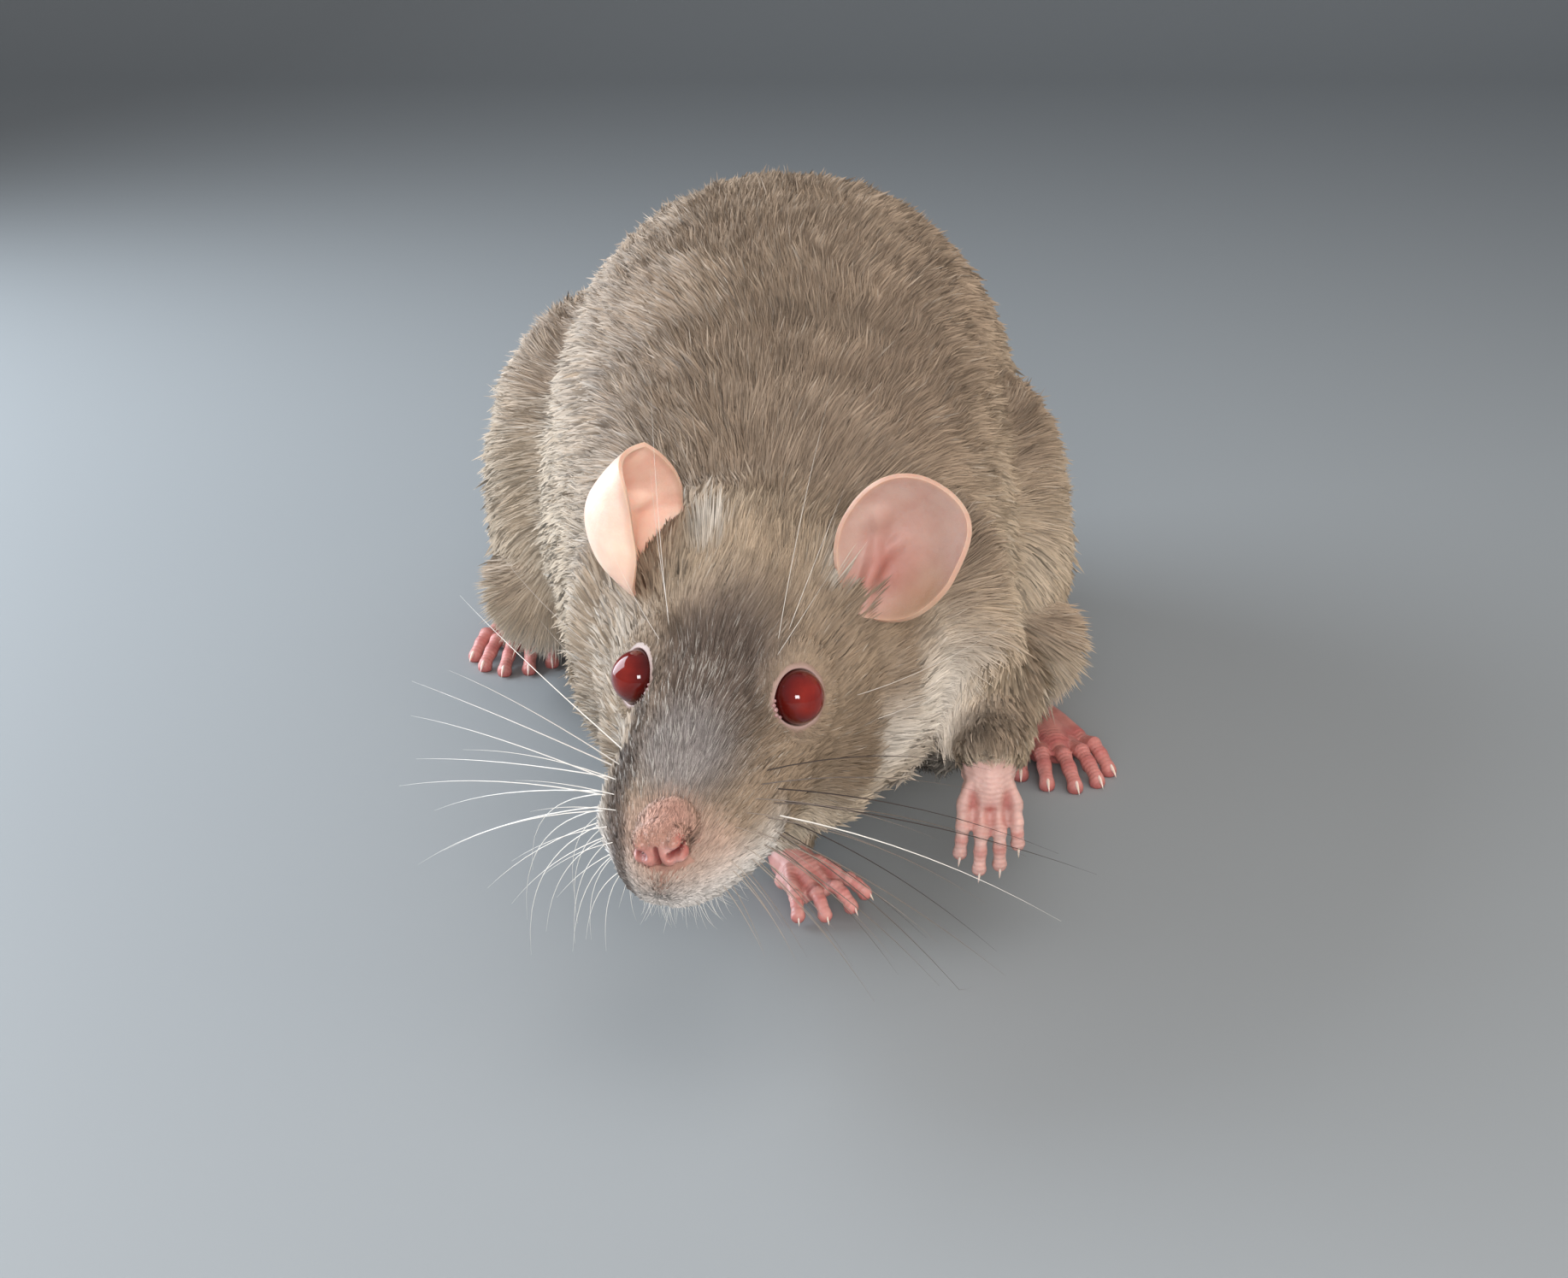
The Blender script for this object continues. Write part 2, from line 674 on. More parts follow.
def eye_axes(side):
    """The eye's own axes as columns: out of the eye, across it, and up."""
    way = unit(np.array(HEAD.to_3x3() @ Vector((EYE_WAY[0], EYE_WAY[1] * side, EYE_WAY[2]))))
    up = unit(HEAD_TURN[:, 2] - way * (HEAD_TURN[:, 2] @ way))
    return np.stack([way, np.cross(up, way), up], axis=1)


RIM_REACH, RIM_RISE = (3.0, 3.3, 3.65, 5.6), (-1.0, -0.55, 0.42, -0.2)


def meet_the_lids(co):
    """Draws the skin up to the rim of each eye, and behind the ball inside the rim."""
    points = workshop(co)
    for side in (RIGHT, LEFT):
        local = (points - eye_spot(side)) @ eye_axes(side)
        reach = np.linalg.norm(local[:, 1:], axis=1)
        wanted = np.interp(reach, RIM_REACH, RIM_RISE)
        share = (1 - smoothstep(4.8, 7.2, reach)) * smoothstep(-5, -3, local[:, 0])
        points += np.outer((wanted - local[:, 0]) * share, eye_axes(side)[:, 0])
    return place(points)


MOUTH = ((7, -9.5, -15.5), (16, -6.6, -15.2), (25, -2.6, -14.0), (26.6, 0, -13.4))
MOUTH_WIDTH, MOUTH_DEPTH = 0.75, 0.95
CLEFT = ((30.5, 0, -3.5), (29.5, 0, -5.8), (28.6, 0, -8.5), (27.2, 0, -13.2))
CLEFT_WIDTH, CLEFT_DEPTH = 0.5, 0.6


def stroke(co, path, width, depth, way):
    """Moves points near a path by depth along their headings, with a soft edge. All in mm."""
    near = np.exp(-((path_gap(co, path) / width) ** 2))
    return co + np.asarray(way, float) * (depth * near)[:, None]


def carve_mouth(co):
    """Presses the line of the mouth and the cleft of the upper lip into the skin."""
    head = to_head(workshop(co))
    ahead, left, up = head.T
    outward = unit(np.stack([0.25 * np.maximum(ahead - 20, 0), left * 0.6, up + 9], axis=1))
    for side in (RIGHT, LEFT):
        line = [(x, y * -side, z) for x, y, z in MOUTH]
        head = stroke(head, line, MOUTH_WIDTH, MOUTH_DEPTH, -outward)
    head = stroke(head, CLEFT, CLEFT_WIDTH, CLEFT_DEPTH, [-1.0, 0, 0])
    return place(from_head(head))


UNDERCOAT = 0.62
BARE_BY_LIDS = rgb(176, 146, 130)
BARE_BY_NOSE = rgb(160, 122, 108)
write_points(skin.data, carve_mouth(read_points(skin.data)))
write_points(skin.data, meet_the_lids(read_points(skin.data)))
skin_at = reading(read_points(skin.data), read_normals(skin.data))
skin_tone = markings(skin_at) * UNDERCOAT
skin_tone = toward(skin_tone, BARE_BY_LIDS, smoothstep(5.8, 4.4, skin_at["eye_gap"]) * 0.9)
skin_tone = toward(skin_tone, BARE_BY_NOSE, 1 - smoothstep(0.9, 1.5, nose_reach(skin_at["head"])))
colour_points(skin.data, skin_tone)
skin.data.shade_smooth()

fur_skin, tree, shader = shader_of("skin under the coat", Roughness=0.85)
streaks = grain(tree, 900, 4)
tint(tree, shader, painted(tree), streaks, 0.55, ((0.3, 0.35), (0.7, 1.0)))
bump(tree, shader, streaks, 0.6, 0.0004)
skin.data.materials.append(fur_skin)
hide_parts(*FLESH)
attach(skin, "root")
skin_spots = workshop(read_points(skin.data))
print("skin box mm:", np.round(skin_spots.min(0), 1), np.round(skin_spots.max(0), 1))

# %% [markdown]
# ## The coat
# Each tuft is the smallest closed solid there is, a tetrahedron stretched into a tapering
# blade: two points at its root, a raised point along its back and one at its tip. Four
# triangles each leave room for hundreds of thousands. Roots are drawn evenly over the
# skin, the blades follow the lie, and neighbours lean together in clumps as hair does.

# %% Draw roots over the skin
TUFT_TOTAL = 352000
BARE_EYE, BARE_CUFF, BARE_TAIL = 3.8, 0.6, 5.0
BARE_NOSE_AHEAD, BARE_NOSE_UP = 27.6, -5.0


def naked(at):
    """Where no fur grows: round the eyeballs, on the nose, past the wrist and by the tail."""
    ahead, _, up = at["head"].T
    nose = (ahead > BARE_NOSE_AHEAD) & (at["is_head"] > 0.5) & (up > BARE_NOSE_UP)
    return (at["eye_gap"] < BARE_EYE) | nose | (at["past_wrist"] > BARE_CUFF) | (at["tail_gap"] < BARE_TAIL)


def root_density(at):
    """Tufts per square millimetre, relative to the back."""
    thin = 0.35 + 0.65 * smoothstep(0.6, 1.0, nose_reach(at["head"]))
    return (BODY_LENGTH / coat_length(at)) ** 1.15 * np.where(naked(at), 0, thin)


def scatter(mesh, density, total, seed):
    """Random spots over a mesh, with their normals. density reads places and normals."""
    rng = np.random.default_rng(seed)
    points, point_normals = read_points(mesh), read_normals(mesh)
    mesh.calc_loop_triangles()
    corners = np.empty(len(mesh.loop_triangles) * 3, dtype=np.int32)
    mesh.loop_triangles.foreach_get("vertices", corners)
    corners = corners.reshape(-1, 3)
    a, b, c = (points[corners[:, i]] for i in range(3))
    areas = np.linalg.norm(np.cross(b - a, c - a), axis=1) / 2
    normals = unit(sum(point_normals[corners[:, i]] for i in range(3)))
    weight = areas * density((a + b + c) / 3, normals)
    picked = rng.choice(len(areas), size=total, p=weight / weight.sum())
    u, v = rng.random(total), rng.random(total)
    fold = u + v > 1
    u, v = np.where(fold, 1 - u, u)[:, None], np.where(fold, 1 - v, v)[:, None]
    shares = (1 - u - v, u, v)
    spots = sum(points[corners[picked, i]] * share for i, share in enumerate(shares))
    lean = sum(point_normals[corners[picked, i]] * share for i, share in enumerate(shares))
    return spots, unit(lean)


def coat_density(spots, normals):
    return root_density(reading(spots, normals))


LID_SLOPE = 0.34
roots, root_normals = scatter(skin.data, coat_density, TUFT_TOTAL, 11)
root_at = reading(roots, root_normals)
keep = ~naked(root_at)
roots, root_normals = roots[keep], root_normals[keep]
root_at = {key: value[keep] for key, value in root_at.items()}
for side in (RIGHT, LEFT):
    axes = eye_axes(side)
    local = (root_at["at"] - eye_spot(side)) @ axes
    gap = np.linalg.norm(local, axis=1)
    flare = LID_SLOPE * local / gap[:, None]
    flare[:, 0] = 1
    root_normals = unit(toward(root_normals, flare @ axes.T, 1 - smoothstep(5.0, 6.5, gap)))
root_at["normal"] = root_normals
print("tufts:", len(roots))

# %% Shape the tufts
# One tuft in twenty is a guard hair, which is longer, thinner and stands more.
TUFT_WIDTH, WIDTH_BY_LENGTH = 0.055, 0.015
GUARD_SHARE, GUARD_LONGER, GUARD_SLIMMER, GUARD_LIFT = 0.05, 1.25, 0.6, 5
STRAY, DRIFT = 0.12, 0.17
MEAN_LIFT, LIFT_WAVE, LIFT_SCATTER, LIFT_RANGE = 10, 3, 3, (0.07, 0.6)
EAR_LIFT, JAW_LIFT = 0.45, 0.22
rng = np.random.default_rng(23)
count = len(roots)
length = coat_length(root_at) * rng.uniform(0.72, 1.12, count)
guard = rng.random(count) < GUARD_SHARE
length = np.where(guard, length * GUARD_LONGER, length)
width = (TUFT_WIDTH + WIDTH_BY_LENGTH * length) * rng.uniform(0.75, 1.25, count)
width = width * np.where(guard, GUARD_SLIMMER, 1)
lie = coat_lie(root_at)
stray = rng.normal(0, STRAY, count) + DRIFT * waves(root_at["at"], 13, 8)
lie = unit(lie + np.cross(root_normals, lie) * stray[:, None])
sideways = np.cross(root_normals, lie)
lift = MEAN_LIFT + LIFT_WAVE * waves(root_at["at"], 7, 9) + rng.normal(0, LIFT_SCATTER, count)
lift = np.clip(np.radians(lift + np.where(guard, GUARD_LIFT, 0)), *LIFT_RANGE)
lift += EAR_LIFT * root_at["ear_front"]
jaw_line = smoothstep(-7, -13, root_at["head"][:, 2]) * smoothstep(-8, 0, root_at["head"][:, 0])
lift += JAW_LIFT * jaw_line * root_at["is_head"]
span = (length * MM)[:, None]
tips = roots + span * (lie * np.cos(lift)[:, None] + root_normals * np.sin(lift)[:, None])


# %% Gather them in clumps
def gather(roots, tips, share, size, seed):
    """Pulls each tip towards the tip of the nearest of a few leading tufts."""
    rng = np.random.default_rng(seed)
    leaders = rng.choice(len(roots), size=len(roots) // size, replace=False)
    tree = KDTree(len(leaders))
    for i, leader in enumerate(leaders):
        tree.insert(roots[leader], i)
    tree.balance()
    nearest = np.array([tree.find(root)[1] for root in roots])
    lead = leaders[nearest]
    return tips + (tips[lead] - tips) * share[:, None], lead


CLUMP_SIZE, CLUMP_SHADE = 11, 0.07
CLUMP_PULL = (0.15, 0.55)
share = rng.uniform(*CLUMP_PULL, count) * (0.3 + 0.7 * smoothstep(4.5, 7.0, root_at["eye_gap"]))
tips, lead = gather(roots, tips, share, CLUMP_SIZE, 31)
clump_shade = rng.normal(0, CLUMP_SHADE, count)[lead]
print("clumps:", len(np.unique(lead)))

# %% Colour each hair from root to tip
DARK_TIP = rgb(62, 54, 48)
WHITE_TIP = rgb(224, 218, 208)
base = markings(root_at)
kind = rng.random(count)
tip_colour = base * (1.13 + clump_shade + rng.normal(0, 0.08, count))[:, None]
face_part = blob(root_at["head"], (11, 0, 1), (19, 11, 11)) * root_at["is_head"]
off_the_lids = smoothstep(4.4, 6.5, root_at["eye_gap"])
dark = kind < (0.07 + 0.15 * face_part) * off_the_lids
pale = kind > 0.95 - 0.13 * face_part
tip_colour = toward(tip_colour, DARK_TIP, np.where(dark, 0.6 + 0.15 * face_part, 0))
tip_colour = toward(tip_colour, WHITE_TIP, np.where(pale, 0.35 + 0.3 * face_part, 0))
mid_colour = base * (0.94 + clump_shade + rng.normal(0, 0.05, count))[:, None]
mid_colour = toward(mid_colour, WHITE_TIP, np.where(pale, 0.3 * face_part, 0))
mid_colour = toward(mid_colour, DARK_TIP, np.where(dark, 0.3 * face_part, 0))
foot_colour = base * (0.55 + 0.4 * smoothstep(5.5, 4.0, root_at["eye_gap"]))[:, None]


# %% Build the meshes
# BLADE holds the corners of a tuft's four faces, and PATCH their places on its patch.
BLADE = np.array([[0, 2, 3], [1, 3, 2], [0, 1, 2], [0, 3, 1]])
PATCH = np.array([[0.0, 0.0], [1.0, 0.0], [0.5, 0.45], [0.5, 1.0]]) * 0.003
ROOT_DEPTH, CREST_ALONG, CREST_RISE = 0.25, 0.42, (0.075, 0.04)
NORMAL_SCATTER, NORMAL_LEAN = 0.22, 0.35
HEAD_CORE, BODY_CORE = -9, 36


def mesh_of_triangles(name, co, corners):
    """A mesh from arrays of points and of triangle corners."""
    mesh = bpy.data.meshes.new(name)
    mesh.vertices.add(len(co))
    mesh.vertices.foreach_set("co", co.astype(np.float32).ravel())
    mesh.loops.add(corners.size)
    mesh.loops.foreach_set("vertex_index", corners.astype(np.int32).ravel())
    mesh.polygons.add(len(corners))
    mesh.polygons.foreach_set("loop_start", np.arange(0, corners.size, 3, dtype=np.int32))
    mesh.update(calc_edges=True)
    return mesh


def around(at):
    """The unwrap of the skin: the way round each form, and the way along it."""
    head, points = at["head"], at["at"]
    on_head = at["is_head"] > 0.5
    head_turn = np.arctan2(head[:, 1], head[:, 2] - HEAD_CORE)
    turn = np.where(on_head, head_turn, np.arctan2(points[:, 0], points[:, 2] - BODY_CORE))
    along = np.where(on_head, head[:, 0], points[:, 1])
    return np.stack([turn, along], axis=1)


def blade_mesh(name, tufts, flat):
    """A mesh of tufts, each with its tones and its own patch at its root's unwrapped place."""
    root, tip, normal = tufts["root"], tufts["tip"], tufts["normal"]
    half = tufts["sideways"] * (tufts["width"] * 0.5 * MM)[:, None]
    sunk = root - normal * ROOT_DEPTH * MM
    rise = (tufts["length"] * CREST_RISE[0] + CREST_RISE[1]) * MM
    crest = root + (tip - root) * CREST_ALONG + normal * rise[:, None]
    co = np.stack([sunk + half, sunk - half, crest, tip], axis=1)
    n = len(root)
    corners = BLADE[None] + 4 * np.arange(n)[:, None, None]
    mesh = mesh_of_triangles(name, co.reshape(-1, 3), corners.reshape(-1, 3))
    tones = np.stack([tufts["foot"], tufts["foot"], tufts["mid"], tufts["end"]], axis=1)
    colour_points(mesh, tones.reshape(-1, 3))
    low, high = flat.min(0), flat.max(0)
    flat = (flat - low) / np.maximum(high - low, 1e-6) * 0.99
    uv = (flat[:, None, :] + PATCH[None])[np.arange(n)[:, None, None], BLADE[None]]
    layer = mesh.uv_layers.new(name="OFBake")
    layer.uv.foreach_set("vector", uv.astype(np.float32).ravel())
    mesh.shade_smooth()
    soft = normal + rng.normal(0, NORMAL_SCATTER, (n, 3)) + NORMAL_LEAN * unit(root - tip)
    mesh.normals_split_custom_set_from_vertices(np.repeat(unit(soft), 4, axis=0))
    return mesh


# %% Fur material
fur, tree, shader = shader_of("fur", Roughness=0.55, Specular_IOR_Level=0.35)
tint(tree, shader, painted(tree), grain(tree, 2600, 2), 0.25, ((0.35, 0.7), (0.65, 1.0)))


# %% Part the coat into pieces
CHEEK_LINE, RUMP_LINE, BELLY_LINE = -8, 45, 26
TUFTS_PER_PIECE = 49000


def zones(at):
    """Names the piece of coat that each tuft belongs to."""
    head, points = at["head"], at["at"]
    on_head = at["is_head"] > 0.5
    left = np.where(on_head, head[:, 1], points[:, 0]) > 0
    rear = np.where(on_head, head[:, 0] <= CHEEK_LINE, points[:, 1] >= RUMP_LINE)
    parts = np.where(on_head, np.where(rear, "cheek", "face"), np.where(rear, "rump", "side"))
    zone = np.char.add(np.where(left, "coat_left_", "coat_right_"), parts)
    below = np.where(rear, "coat_rear_underside", "coat_front_underside")
    return np.where(~on_head & (points[:, 2] < BELLY_LINE), below, zone)


zone = zones(root_at)
tufts = {
    "root": roots, "tip": tips, "normal": root_normals, "sideways": sideways, "width": width,
    "length": length, "foot": foot_colour, "mid": mid_colour, "end": tip_colour,
}
unwrapped = around(root_at)
for name in sorted(set(zone.tolist())):
    chosen = np.flatnonzero(zone == name)
    for part in range(0, len(chosen), TUFTS_PER_PIECE):
        some = chosen[part:part + TUFTS_PER_PIECE]
        title = name if len(chosen) <= TUFTS_PER_PIECE else f"{name}_{part // TUFTS_PER_PIECE}"
        own = {key: value[some] for key, value in tufts.items()}
        piece = new_object(title, blade_mesh(title, own, unwrapped[some]))
        piece.data.materials.append(fur)
        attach(piece, "root")
        print(title, len(some) * 4, "triangles")

# %% [markdown]
# ## Eyes and lids
# The eyes bulge well out of the head, ruby red and glossy. Each is one smooth ball with a
# slight swelling of the cornea in front. The lids are a thin turned rim that hugs the ball,
# with a small wet corner towards the nose.

# %% Rings and finished pieces
def circle(count):
    """Cosines and sines of evenly spaced turns."""
    turn = np.linspace(0, 2 * math.pi, count, endpoint=False)
    return np.cos(turn), np.sin(turn)


def loft(bm, rows, capped=True):
    """Joins closed rings of points into a tube in a bmesh, with its ends filled if capped."""
    verts = [[bm.verts.new(point) for point in row] for row in rows]
    for low, high in zip(verts, verts[1:]):
        for j in range(len(low)):
            k = (j + 1) % len(low)
            bm.faces.new((low[j], low[k], high[k], high[j]))
    if capped:
        bm.faces.new(list(reversed(verts[0])))
        bm.faces.new(verts[-1])


def turned_mesh(name, rows):
    """A mesh through rings of points in metres, with its doubled points merged."""
    bm = bmesh.new()
    loft(bm, rows, capped=False)
    bmesh.ops.remove_doubles(bm, verts=bm.verts, dist=1e-7)
    mesh = mesh_of(bm, name, face_out=True)
    mesh.shade_smooth()
    return mesh


def finish_piece(obj, material, slot, *nodes):
    """Gives a finished piece its material and its place in the model."""
    obj.data.materials.clear()
    obj.data.materials.append(material)
    if nodes:
        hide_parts(*nodes)
    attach(obj, "root")
    print(obj.name, len(obj.data.polygons), "faces")


# %% Eyeballs
CORNEA, CORNEA_EDGE = 0.22, 0.75
BALL_RINGS, BALL_SIDES = 40, 56


def eye_ring(side, out, reach):
    """A ring of points in metres, out along the eye's axis and at a reach round it."""
    across, up = circle(len(reach))
    local = np.stack([np.full(len(reach), out), reach * across, reach * up], axis=1)
    return place(local @ eye_axes(side).T + eye_spot(side))


def eyeball(side):
    rows = []
    for i in range(BALL_RINGS + 1):
        polar = math.pi * i / BALL_RINGS
        out = EYE_RADIUS * math.cos(polar) + CORNEA * max(0, 1 - polar / CORNEA_EDGE) ** 2
        rows.append(eye_ring(side, out, np.full(BALL_SIDES, EYE_RADIUS * math.sin(polar))))
    mesh = turned_mesh(f"eyeball_{WORD[side]}", rows)
    spots = (workshop(read_points(mesh)) - eye_spot(side)) @ eye_axes(side)
    facing = spots[:, 0] / np.linalg.norm(spots, axis=1)
    colour_points(mesh, np.repeat(facing[:, None] * 0.5 + 0.5, 3, axis=1), "facing")
    return mesh


RUBY_DEPTHS = (
    (0.50, (0.03, 0.003, 0.003)), (0.78, (0.11, 0.006, 0.004)), (0.95, (0.20, 0.014, 0.008)),
    (1.0, (0.17, 0.011, 0.007)),
)
ruby, tree, shader = shader_of(
    "ruby eye", Roughness=0.05, Specular_IOR_Level=0.35, Coat_Weight=0.3, Coat_Roughness=0.015
)
depth = ramp(tree, painted(tree, "facing"), RUBY_DEPTHS)
tint(tree, shader, depth, grain(tree, 700, 3), 0.35, ((0.35, 0.45), (0.65, 1.0)))
for side in (RIGHT, LEFT):
    ball = new_object(f"eyeball_{WORD[side]}", eyeball(side))
    finish_piece(ball, ruby, "eye", f"eye_{WORD[side]}")

# %% Lids
# The profile of a lid gives, from its foot over the rim to its inner edge, the distance from
# the eye's axis, the height along it, and how far the tone goes from LID_FOOT to LID_RIM.
LID_PROFILE = (
    (5.6, -1.6, 0), (5.1, -0.55, 0), (4.6, 0.10, 0), (4.1, 0.36, 0.1), (3.78, 0.50, 0.5),
    (3.62, 0.54, 1.0), (3.52, 0.44, 0.8), (3.44, 0.25, 0.1), (3.32, -0.2, 0.0),
)
LID_FOOT, LID_RIM = rgb(146, 122, 108), rgb(174, 144, 138)
LID_SIDES = 64
CORNER_TURN = {RIGHT: 1, LEFT: 179}
CORNER_DRAW, CORNER_SPREAD = 0.10, 0.42
LID_WRINKLES, WRINKLE_HEIGHT = 9, 0.05


def lid(side):
    """A turned rim round the eyeball, drawn out a little towards the nose."""
    turn = np.linspace(0, 2 * math.pi, LID_SIDES, endpoint=False)
    apart = np.angle(np.exp(1j * (turn - math.radians(CORNER_TURN[side]))))
    rows, tones = [], []
    for reach, height, tone in LID_PROFILE:
        wide = reach * (1 + CORNER_DRAW * np.exp(-((apart / CORNER_SPREAD) ** 2)))
        wide += WRINKLE_HEIGHT * np.sin(turn * LID_WRINKLES) * (reach > 3.7)
        rows.append(eye_ring(side, height, wide))
        tones.append(np.full(LID_SIDES, tone))
    mesh = turned_mesh(f"lid_{WORD[side]}", rows)
    tone = np.concatenate(tones)[:, None]
    colour_points(mesh, LID_FOOT * (1 - tone) + LID_RIM * tone)
    return mesh


lid_skin, tree, shader = shader_of("lid skin", Roughness=0.45)
pores = grain(tree, 3500, 3)
tint(tree, shader, painted(tree), pores, 0.3, ((0.3, 0.6), (0.7, 1.0)))
bump(tree, shader, pores, 0.3, 0.0001)
for side in (RIGHT, LEFT):
    finish_piece(new_object(f"lid_{WORD[side]}", lid(side)), lid_skin, "skin")

# %% The wet corners
# Each bead has its turn round the eye in degrees, its distance from the axis and its radius.
CORNER_BEADS = (
    (163, 3.72, 0.22), (171, 3.95, 0.30), (180, 3.82, 0.34), (189, 4.02, 0.30), (197, 3.72, 0.26),
)
BEAD_HEIGHT = 0.50
wet = shader_of("wet corner", Base_Color=(*rgb(164, 126, 124), 1), Roughness=0.06, Coat_Weight=1.0)[0]
for side in (RIGHT, LEFT):
    bm = bmesh.new()
    for degrees, reach, size in CORNER_BEADS:
        turn = math.radians(degrees if side == LEFT else 180 - degrees)
        spot = np.array([BEAD_HEIGHT, reach * math.cos(turn), reach * math.sin(turn)])
        made = bmesh.ops.create_uvsphere(bm, u_segments=14, v_segments=8, radius=size * MM)
        bmesh.ops.translate(bm, vec=place(eye_axes(side) @ spot + eye_spot(side)), verts=made["verts"])
    mesh = mesh_of(bm, f"wet_corner_{WORD[side]}")
    mesh.shade_smooth()
    finish_piece(new_object(mesh.name, mesh), wet, "eye")

# %% [markdown]
# ## The nose
# The nose leather is modelled as clay is: rounded lumps are pressed together into one fine
# mesh, and then the groove and the two comma-shaped nostrils are pushed in with smooth
# strokes. Pink wet skin comes from a little light let in under the surface.

# %% Clay helpers
def ball_mesh(bm, centre, radii, turn=None, segments=20):
    """Adds an ellipsoid in workshop millimetres to a bmesh."""
    turn = Matrix.Identity(4) if turn is None else turn
    made = bmesh.ops.create_uvsphere(bm, u_segments=segments, v_segments=segments // 2, radius=1)
    bmesh.ops.transform(
        bm, matrix=Matrix.Translation(centre) @ turn @ Matrix.Diagonal((*radii, 1)), verts=made["verts"]
    )


def limb_clay(bm, spots, radii, sides=12):
    """Adds a tapered round limb with domed ends to a bmesh, through spots in millimetres."""
    spots = [np.array(s, float) for s in spots]
    cosines, sines = circle(sides)
    rows, radii = [], list(radii)
    for i, spot in enumerate(spots):
        ahead = unit(spots[min(i + 1, len(spots) - 1)] - spots[max(i - 1, 0)])
        side = unit(np.cross(ahead, [0.31, 0.17, 0.93]))
        up = np.cross(side, ahead)
        ring = radii[i] * (cosines[:, None] * side + sines[:, None] * up)
        if i == 0:
            for cap in (0.98, 0.7):
                rows.append(spot - ahead * radii[0] * cap + ring * math.sqrt(1 - cap * cap))
        rows.append(spot + ring)
        if i == len(spots) - 1:
            for cap in (0.7, 0.98):
                rows.append(spot + ahead * radii[-1] * cap + ring * math.sqrt(1 - cap * cap))
    loft(bm, rows)


def clay(name, bm, voxel, rounds):
    """Presses the lumps of a bmesh into one fine smooth mesh, in metres."""
    bmesh.ops.recalc_face_normals(bm, faces=bm.faces)
    for vert in bm.verts:
        vert.co = Vector(place(vert.co))
    obj = remeshed(mesh_of(bm, name), voxel * MM, name)
    relax(obj.data, rounds)
    obj.data.shade_smooth()
    return obj


# %% Model the nose
bm = bmesh.new()
HEAD_TURN_4 = HEAD.to_3x3().to_4x4()
NOSE_ROLL = math.radians(12)
NOSE_VOXEL, NOSE_SMOOTHINGS = 0.17, 4
NOSE_MIDDLE = np.array([0, 0, -2.3])
NOSE_TURN = np.array(Matrix.Rotation(NOSE_ROLL, 3, "X"))
NOSE_LUMPS = [
    ((25.2, 0, -2.5), (3.9, 3.1, 2.5)),
    ((27.5, 0, -2.5), (2.6, 3.0, 2.5)),
    ((27.7, 0, -3.8), (1.8, 2.1, 1.3)),
]
for side in (RIGHT, LEFT):
    NOSE_LUMPS.append(((28.9, 1.15 * side, -3.1), (1.45, 1.15, 1.3)))
    NOSE_LUMPS.append(((28.4, 2.3 * side, -3.2), (1.45, 1.0, 0.9)))
    NOSE_LUMPS.append(((28.1, 1.9 * side, -1.5), (1.7, 1.2, 1.0)))


def nose_turned(points):
    """Points of the nose's own frame, which is rolled a little, in the head's frame."""
    return (np.asarray(points, float) - NOSE_MIDDLE) @ NOSE_TURN.T + NOSE_MIDDLE


def to_nose(points):
    """Points of the head's frame in the nose's own frame."""
    return (points - NOSE_MIDDLE) @ NOSE_TURN + NOSE_MIDDLE


for centre, radii in NOSE_LUMPS:
    turn = HEAD_TURN_4 @ Matrix.Rotation(NOSE_ROLL, 4, "X")
    ball_mesh(bm, HEAD @ Vector(nose_turned(centre)), radii, turn)
nose = clay("nose", bm, NOSE_VOXEL, NOSE_SMOOTHINGS)

# %% Press in the nostrils and the groove
# Seen from ahead, a nostril follows SLIT and the groove SEPTUM. Each has a depth and a width.
SEPTUM, SEPTUM_DEPTH, SEPTUM_WIDTH = ((0, 0, -1.7), (0, 0, -5.6)), 0.7, 0.24
SLIT = ((0, 1.5, -2.62), (0, 2.3, -2.5), (0, 3.0, -2.05), (0, 3.35, -1.5))
SLIT_DEPTH, SLIT_WIDTH = 1.25, 0.27
co = to_head(workshop(read_points(nose.data)))
nose_co = to_nose(co)
front = smoothstep(26.6, 27.6, co[:, 0])
as_seen = nose_co * (0, 1, 1)
to_slit = np.minimum(path_gap(as_seen * (0, RIGHT, 1), SLIT), path_gap(as_seen, SLIT))
to_septum = path_gap(as_seen, SEPTUM)
pressed = SLIT_DEPTH * np.exp(-((to_slit / SLIT_WIDTH) ** 2))
co[:, 0] -= front * (pressed + SEPTUM_DEPTH * np.exp(-((to_septum / SEPTUM_WIDTH) ** 2)))
write_points(nose.data, place(from_head(co)))

# %% Colour the nose
pit = np.exp(-((to_slit / 0.33) ** 2)) * front
line = np.exp(-((to_septum / 0.30) ** 2)) * front
downy = np.maximum(smoothstep(-2.2, -0.6, nose_co[:, 2]), smoothstep(28.6, 26.6, nose_co[:, 0]))
flush = blob(co, (27.8, 2.7, -0.2), (2.2, 1.5, 1.8)) + blob(co, (28.2, 3.6, -2.8), (1.6, 1.0, 2.6))
flush += 0.6 * blob(co, (28.0, -3.0, -1.8), (2, 1.4, 2))
pink = np.tile(rgb(176, 120, 110), (len(co), 1))
for wash, share in (
    (rgb(164, 124, 108), downy),
    (rgb(172, 92, 84), 0.65 * flush),
    (rgb(200, 160, 152), 0.6 * blob(co, (29.4, 1.7, -1.7), (1.4, 1.4, 0.7))),
    (rgb(206, 160, 152), 0.7 * blob(co, (29.0, 2.6, -3.0), (1.6, 1.2, 0.6))),
    (rgb(104, 24, 28), 0.97 * np.maximum(pit, line * 0.8)),
    (rgb(168, 104, 98), smoothstep(-4.6, -5.6, co[:, 2])),
):
    pink = toward(pink, wash, share)
pink *= (1 + 0.08 * waves(co, 1.6, 41) + 0.06 * waves(co, 0.7, 42))[:, None]
colour_points(nose.data, pink)
